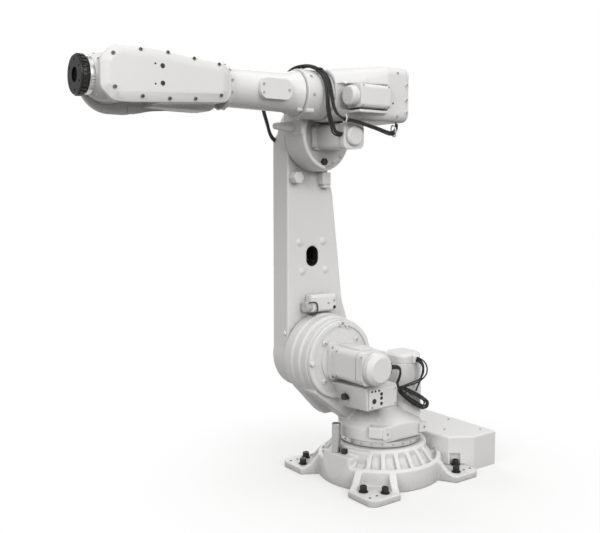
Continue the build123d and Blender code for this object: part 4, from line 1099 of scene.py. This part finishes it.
# %% Floor
FLOOR_HALF = 30.0
floor_mesh = bpy.data.meshes.new("floor")
floor_corners = [(x * FLOOR_HALF, y * FLOOR_HALF, 0.0) for x, y in ((-1, -1), (1, -1), (1, 1), (-1, 1))]
floor_mesh.from_pydata(floor_corners, [], [(0, 1, 2, 3)])
floor = bpy.data.objects.new("floor", floor_mesh)
scene.collection.objects.link(floor)

floor_material = bpy.data.materials.new("floor_white")
floor_material.use_nodes = True
floor_tree = floor_material.node_tree
floor_shader = floor_tree.nodes["Principled BSDF"]
floor_shader.inputs["Roughness"].default_value = 0.9
glow = add_node(floor_tree, "ShaderNodeEmission", Color=(1, 1, 1, 1), Strength=1.0)
floor_place = add_node(floor_tree, "ShaderNodeTexCoord")
away = add_node(floor_tree, "ShaderNodeVectorMath", operation="LENGTH")
join(floor_tree, floor_place.outputs["Object"], away.inputs[0])
fade = add_node(floor_tree, "ShaderNodeMapRange", From_Min=0.50, From_Max=1.5, To_Min=0.50, To_Max=1.0,
                interpolation_type="SMOOTHSTEP")
join(floor_tree, away.outputs["Value"], fade.inputs["Value"])
floor_path = add_node(floor_tree, "ShaderNodeLightPath")
floor_tone = add_node(floor_tree, "ShaderNodeMix", data_type="RGBA")
floor_tone.inputs["A"].default_value = (0.88, 0.88, 0.88, 1)
floor_tone.inputs["B"].default_value = (0.12, 0.112, 0.10, 1)
join(floor_tree, floor_path.outputs["Is Diffuse Ray"], floor_tone.inputs["Factor"])
join(floor_tree, floor_tone.outputs["Result"], floor_shader.inputs["Base Color"])
seen = add_node(floor_tree, "ShaderNodeMath", operation="MAXIMUM")
join(floor_tree, floor_path.outputs["Is Camera Ray"], seen.inputs[0])
join(floor_tree, floor_path.outputs["Is Glossy Ray"], seen.inputs[1])
part = add_node(floor_tree, "ShaderNodeMath", operation="MULTIPLY")
join(floor_tree, fade.outputs["Result"], part.inputs[0])
join(floor_tree, seen.outputs[0], part.inputs[1])
floor_mix = add_node(floor_tree, "ShaderNodeMixShader")
join(floor_tree, part.outputs[0], floor_mix.inputs["Fac"])
join(floor_tree, floor_shader.outputs["BSDF"], floor_mix.inputs[1])
join(floor_tree, glow.outputs["Emission"], floor_mix.inputs[2])
join(floor_tree, floor_mix.outputs["Shader"], floor_tree.nodes["Material Output"].inputs["Surface"])
floor_mesh.materials.append(floor_material)
print("floor", 2 * FLOOR_HALF, "m wide")

# %% [markdown]
# The surround is plain white where the camera looks straight at it. For light and reflections it is
# only half as bright and a little warm, so that the lamps still model the shapes.

# %% Surround
world = bpy.data.worlds.new("surround")
scene.world = world
world.use_nodes = True
sky = world.node_tree
sky.nodes.clear()
sky_out = add_node(sky, "ShaderNodeOutputWorld")
seen_white = add_node(sky, "ShaderNodeBackground", Color=(1, 1, 1, 1), Strength=1.0)
room_light = add_node(sky, "ShaderNodeBackground", Color=(1.0, 0.99, 0.97, 1), Strength=0.50)
sky_path = add_node(sky, "ShaderNodeLightPath")
sky_mix = add_node(sky, "ShaderNodeMixShader")
join(sky, sky_path.outputs["Is Camera Ray"], sky_mix.inputs["Fac"])
join(sky, room_light.outputs["Background"], sky_mix.inputs[1])
join(sky, seen_white.outputs["Background"], sky_mix.inputs[2])
join(sky, sky_mix.outputs["Shader"], sky_out.inputs["Surface"])
print("surround ready")

# %% [markdown]
# Four large soft lamps: the key stands behind the camera's right shoulder, the fill to its left,
# one hangs above, and one lights the back.

# %% Lamps
MIDDLE = Vector((0.4, 0.0, 1.1))
LAMPS = {
    "key": ((0.6, 9.0, 5.4), 5.0, 430.0),
    "fill": ((8.8, 3.0, 5.2), 5.0, 300.0),
    "top": ((-1.4, 1.0, 9.5), 6.0, 145.0),
    "back": ((-3.0, -8.5, 4.2), 5.0, 260.0)}
for name, (place, size, power) in LAMPS.items():
    data = bpy.data.lights.new(name, "AREA")
    data.shape = "SQUARE"
    data.size = size
    data.energy = power
    lamp = bpy.data.objects.new(name, data)
    lamp.location = place
    lamp.rotation_mode = "QUATERNION"
    lamp.rotation_quaternion = (MIDDLE - Vector(place)).to_track_quat("-Z", "Y")
    scene.collection.objects.link(lamp)
print("lamps:", len(LAMPS))
